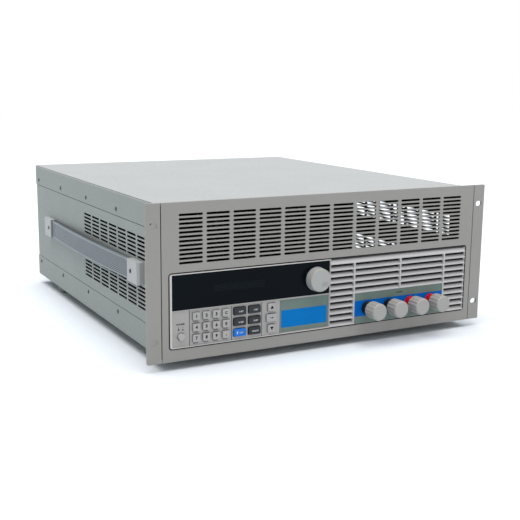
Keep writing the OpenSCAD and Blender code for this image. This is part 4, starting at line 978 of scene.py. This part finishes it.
def pale_floor():
    """Plain floor that is seen only from above."""
    mesh = bpy.data.meshes.new("studio_floor")
    h = FLOOR_HALF
    mesh.from_pydata([(-h, -h, 0), (h, -h, 0), (h, h, 0), (-h, h, 0)], [], [(0, 1, 2, 3)])
    made = bpy.data.materials.new("studio_floor")
    made.use_nodes = True
    tree = made.node_tree
    tree.nodes.clear()
    out = tree.nodes.new("ShaderNodeOutputMaterial")
    diffuse = tree.nodes.new("ShaderNodeBsdfDiffuse")
    diffuse.inputs["Color"].default_value = FLOOR_COLOUR
    clear = tree.nodes.new("ShaderNodeBsdfTransparent")
    side = tree.nodes.new("ShaderNodeNewGeometry")
    blend = tree.nodes.new("ShaderNodeMixShader")
    tree.links.new(side.outputs["Backfacing"], blend.inputs["Fac"])
    tree.links.new(diffuse.outputs["BSDF"], blend.inputs[1])
    tree.links.new(clear.outputs["BSDF"], blend.inputs[2])
    tree.links.new(blend.outputs["Shader"], out.inputs["Surface"])
    mesh.materials.append(made)
    added("studio_floor", mesh)


def white_surroundings():
    """Dim even light for the object, white for the camera, reflections and what is seen through."""
    world = bpy.data.worlds.new("studio")
    bpy.context.scene.world = world
    world.use_nodes = True
    tree = world.node_tree
    tree.nodes.clear()
    out = tree.nodes.new("ShaderNodeOutputWorld")
    dim = tree.nodes.new("ShaderNodeBackground")
    dim.inputs["Color"].default_value = WORLD_COLOUR
    dim.inputs["Strength"].default_value = WORLD_STRENGTH
    white = tree.nodes.new("ShaderNodeBackground")
    white.inputs["Color"].default_value = WHITE
    white.inputs["Strength"].default_value = 1
    path = tree.nodes.new("ShaderNodeLightPath")
    most = tree.nodes.new("ShaderNodeMath")
    most.operation = "MAXIMUM"
    seen = tree.nodes.new("ShaderNodeMath")
    seen.operation = "MAXIMUM"
    tree.links.new(path.outputs["Is Camera Ray"], most.inputs[0])
    tree.links.new(path.outputs["Is Glossy Ray"], most.inputs[1])
    tree.links.new(most.outputs[0], seen.inputs[0])
    tree.links.new(path.outputs["Is Transmission Ray"], seen.inputs[1])
    mix = tree.nodes.new("ShaderNodeMixShader")
    tree.links.new(seen.outputs[0], mix.inputs["Fac"])
    tree.links.new(dim.outputs["Background"], mix.inputs[1])
    tree.links.new(white.outputs["Background"], mix.inputs[2])
    tree.links.new(mix.outputs["Shader"], out.inputs["Surface"])


def studio_lamps():
    """Broad light from overhead and a weak softbox in front."""
    sun = bpy.data.lights.new("overhead", "SUN")
    sun.energy = SUN_STRENGTH
    sun.angle = math.radians(SUN_SPREAD)
    added("overhead", sun).rotation_euler = (math.radians(SUN_TILT), math.radians(SUN_LEAN), 0)
    soft = bpy.data.lights.new("front_softbox", "AREA")
    soft.shape = "SQUARE"
    soft.size = SOFTBOX_SIZE
    soft.energy = SOFTBOX_POWER
    holder = added("front_softbox", soft)
    holder.location = SOFTBOX_PLACE
    holder.rotation_euler = (SOFTBOX_AIM - SOFTBOX_PLACE).to_track_quat("-Z", "Y").to_euler()


def photo_camera():
    """The camera that sees the object as the photograph does."""
    azimuth, elevation, roll = (math.radians(v) for v in (CAMERA_AZIMUTH, CAMERA_ELEVATION, CAMERA_ROLL))
    forward = Vector((-math.sin(azimuth) * math.cos(elevation), math.cos(azimuth) * math.cos(elevation),
                      -math.sin(elevation)))
    right = Vector((math.cos(azimuth), math.sin(azimuth), 0))
    up = right.cross(forward)
    side = math.cos(roll) * right + math.sin(roll) * up
    top = -math.sin(roll) * right + math.cos(roll) * up
    turned = Matrix((side, top, -forward)).transposed().to_4x4()
    turned.translation = (CAMERA_X, FACE_Y - CAMERA_AHEAD, panel_low.z + CAMERA_UP)
    lens = bpy.data.cameras.new("photo_camera")
    lens.sensor_fit = "HORIZONTAL"
    lens.sensor_width = SENSOR_MM
    lens.lens = LENS_PX / IMAGE_PX * SENSOR_MM
    lens.clip_start = NEAREST
    camera = added("photo_camera", lens)
    camera.matrix_world = turned
    bpy.context.scene.camera = camera


pale_floor()
white_surroundings()
studio_lamps()
photo_camera()
bpy.context.scene.view_settings.view_transform = "Standard"
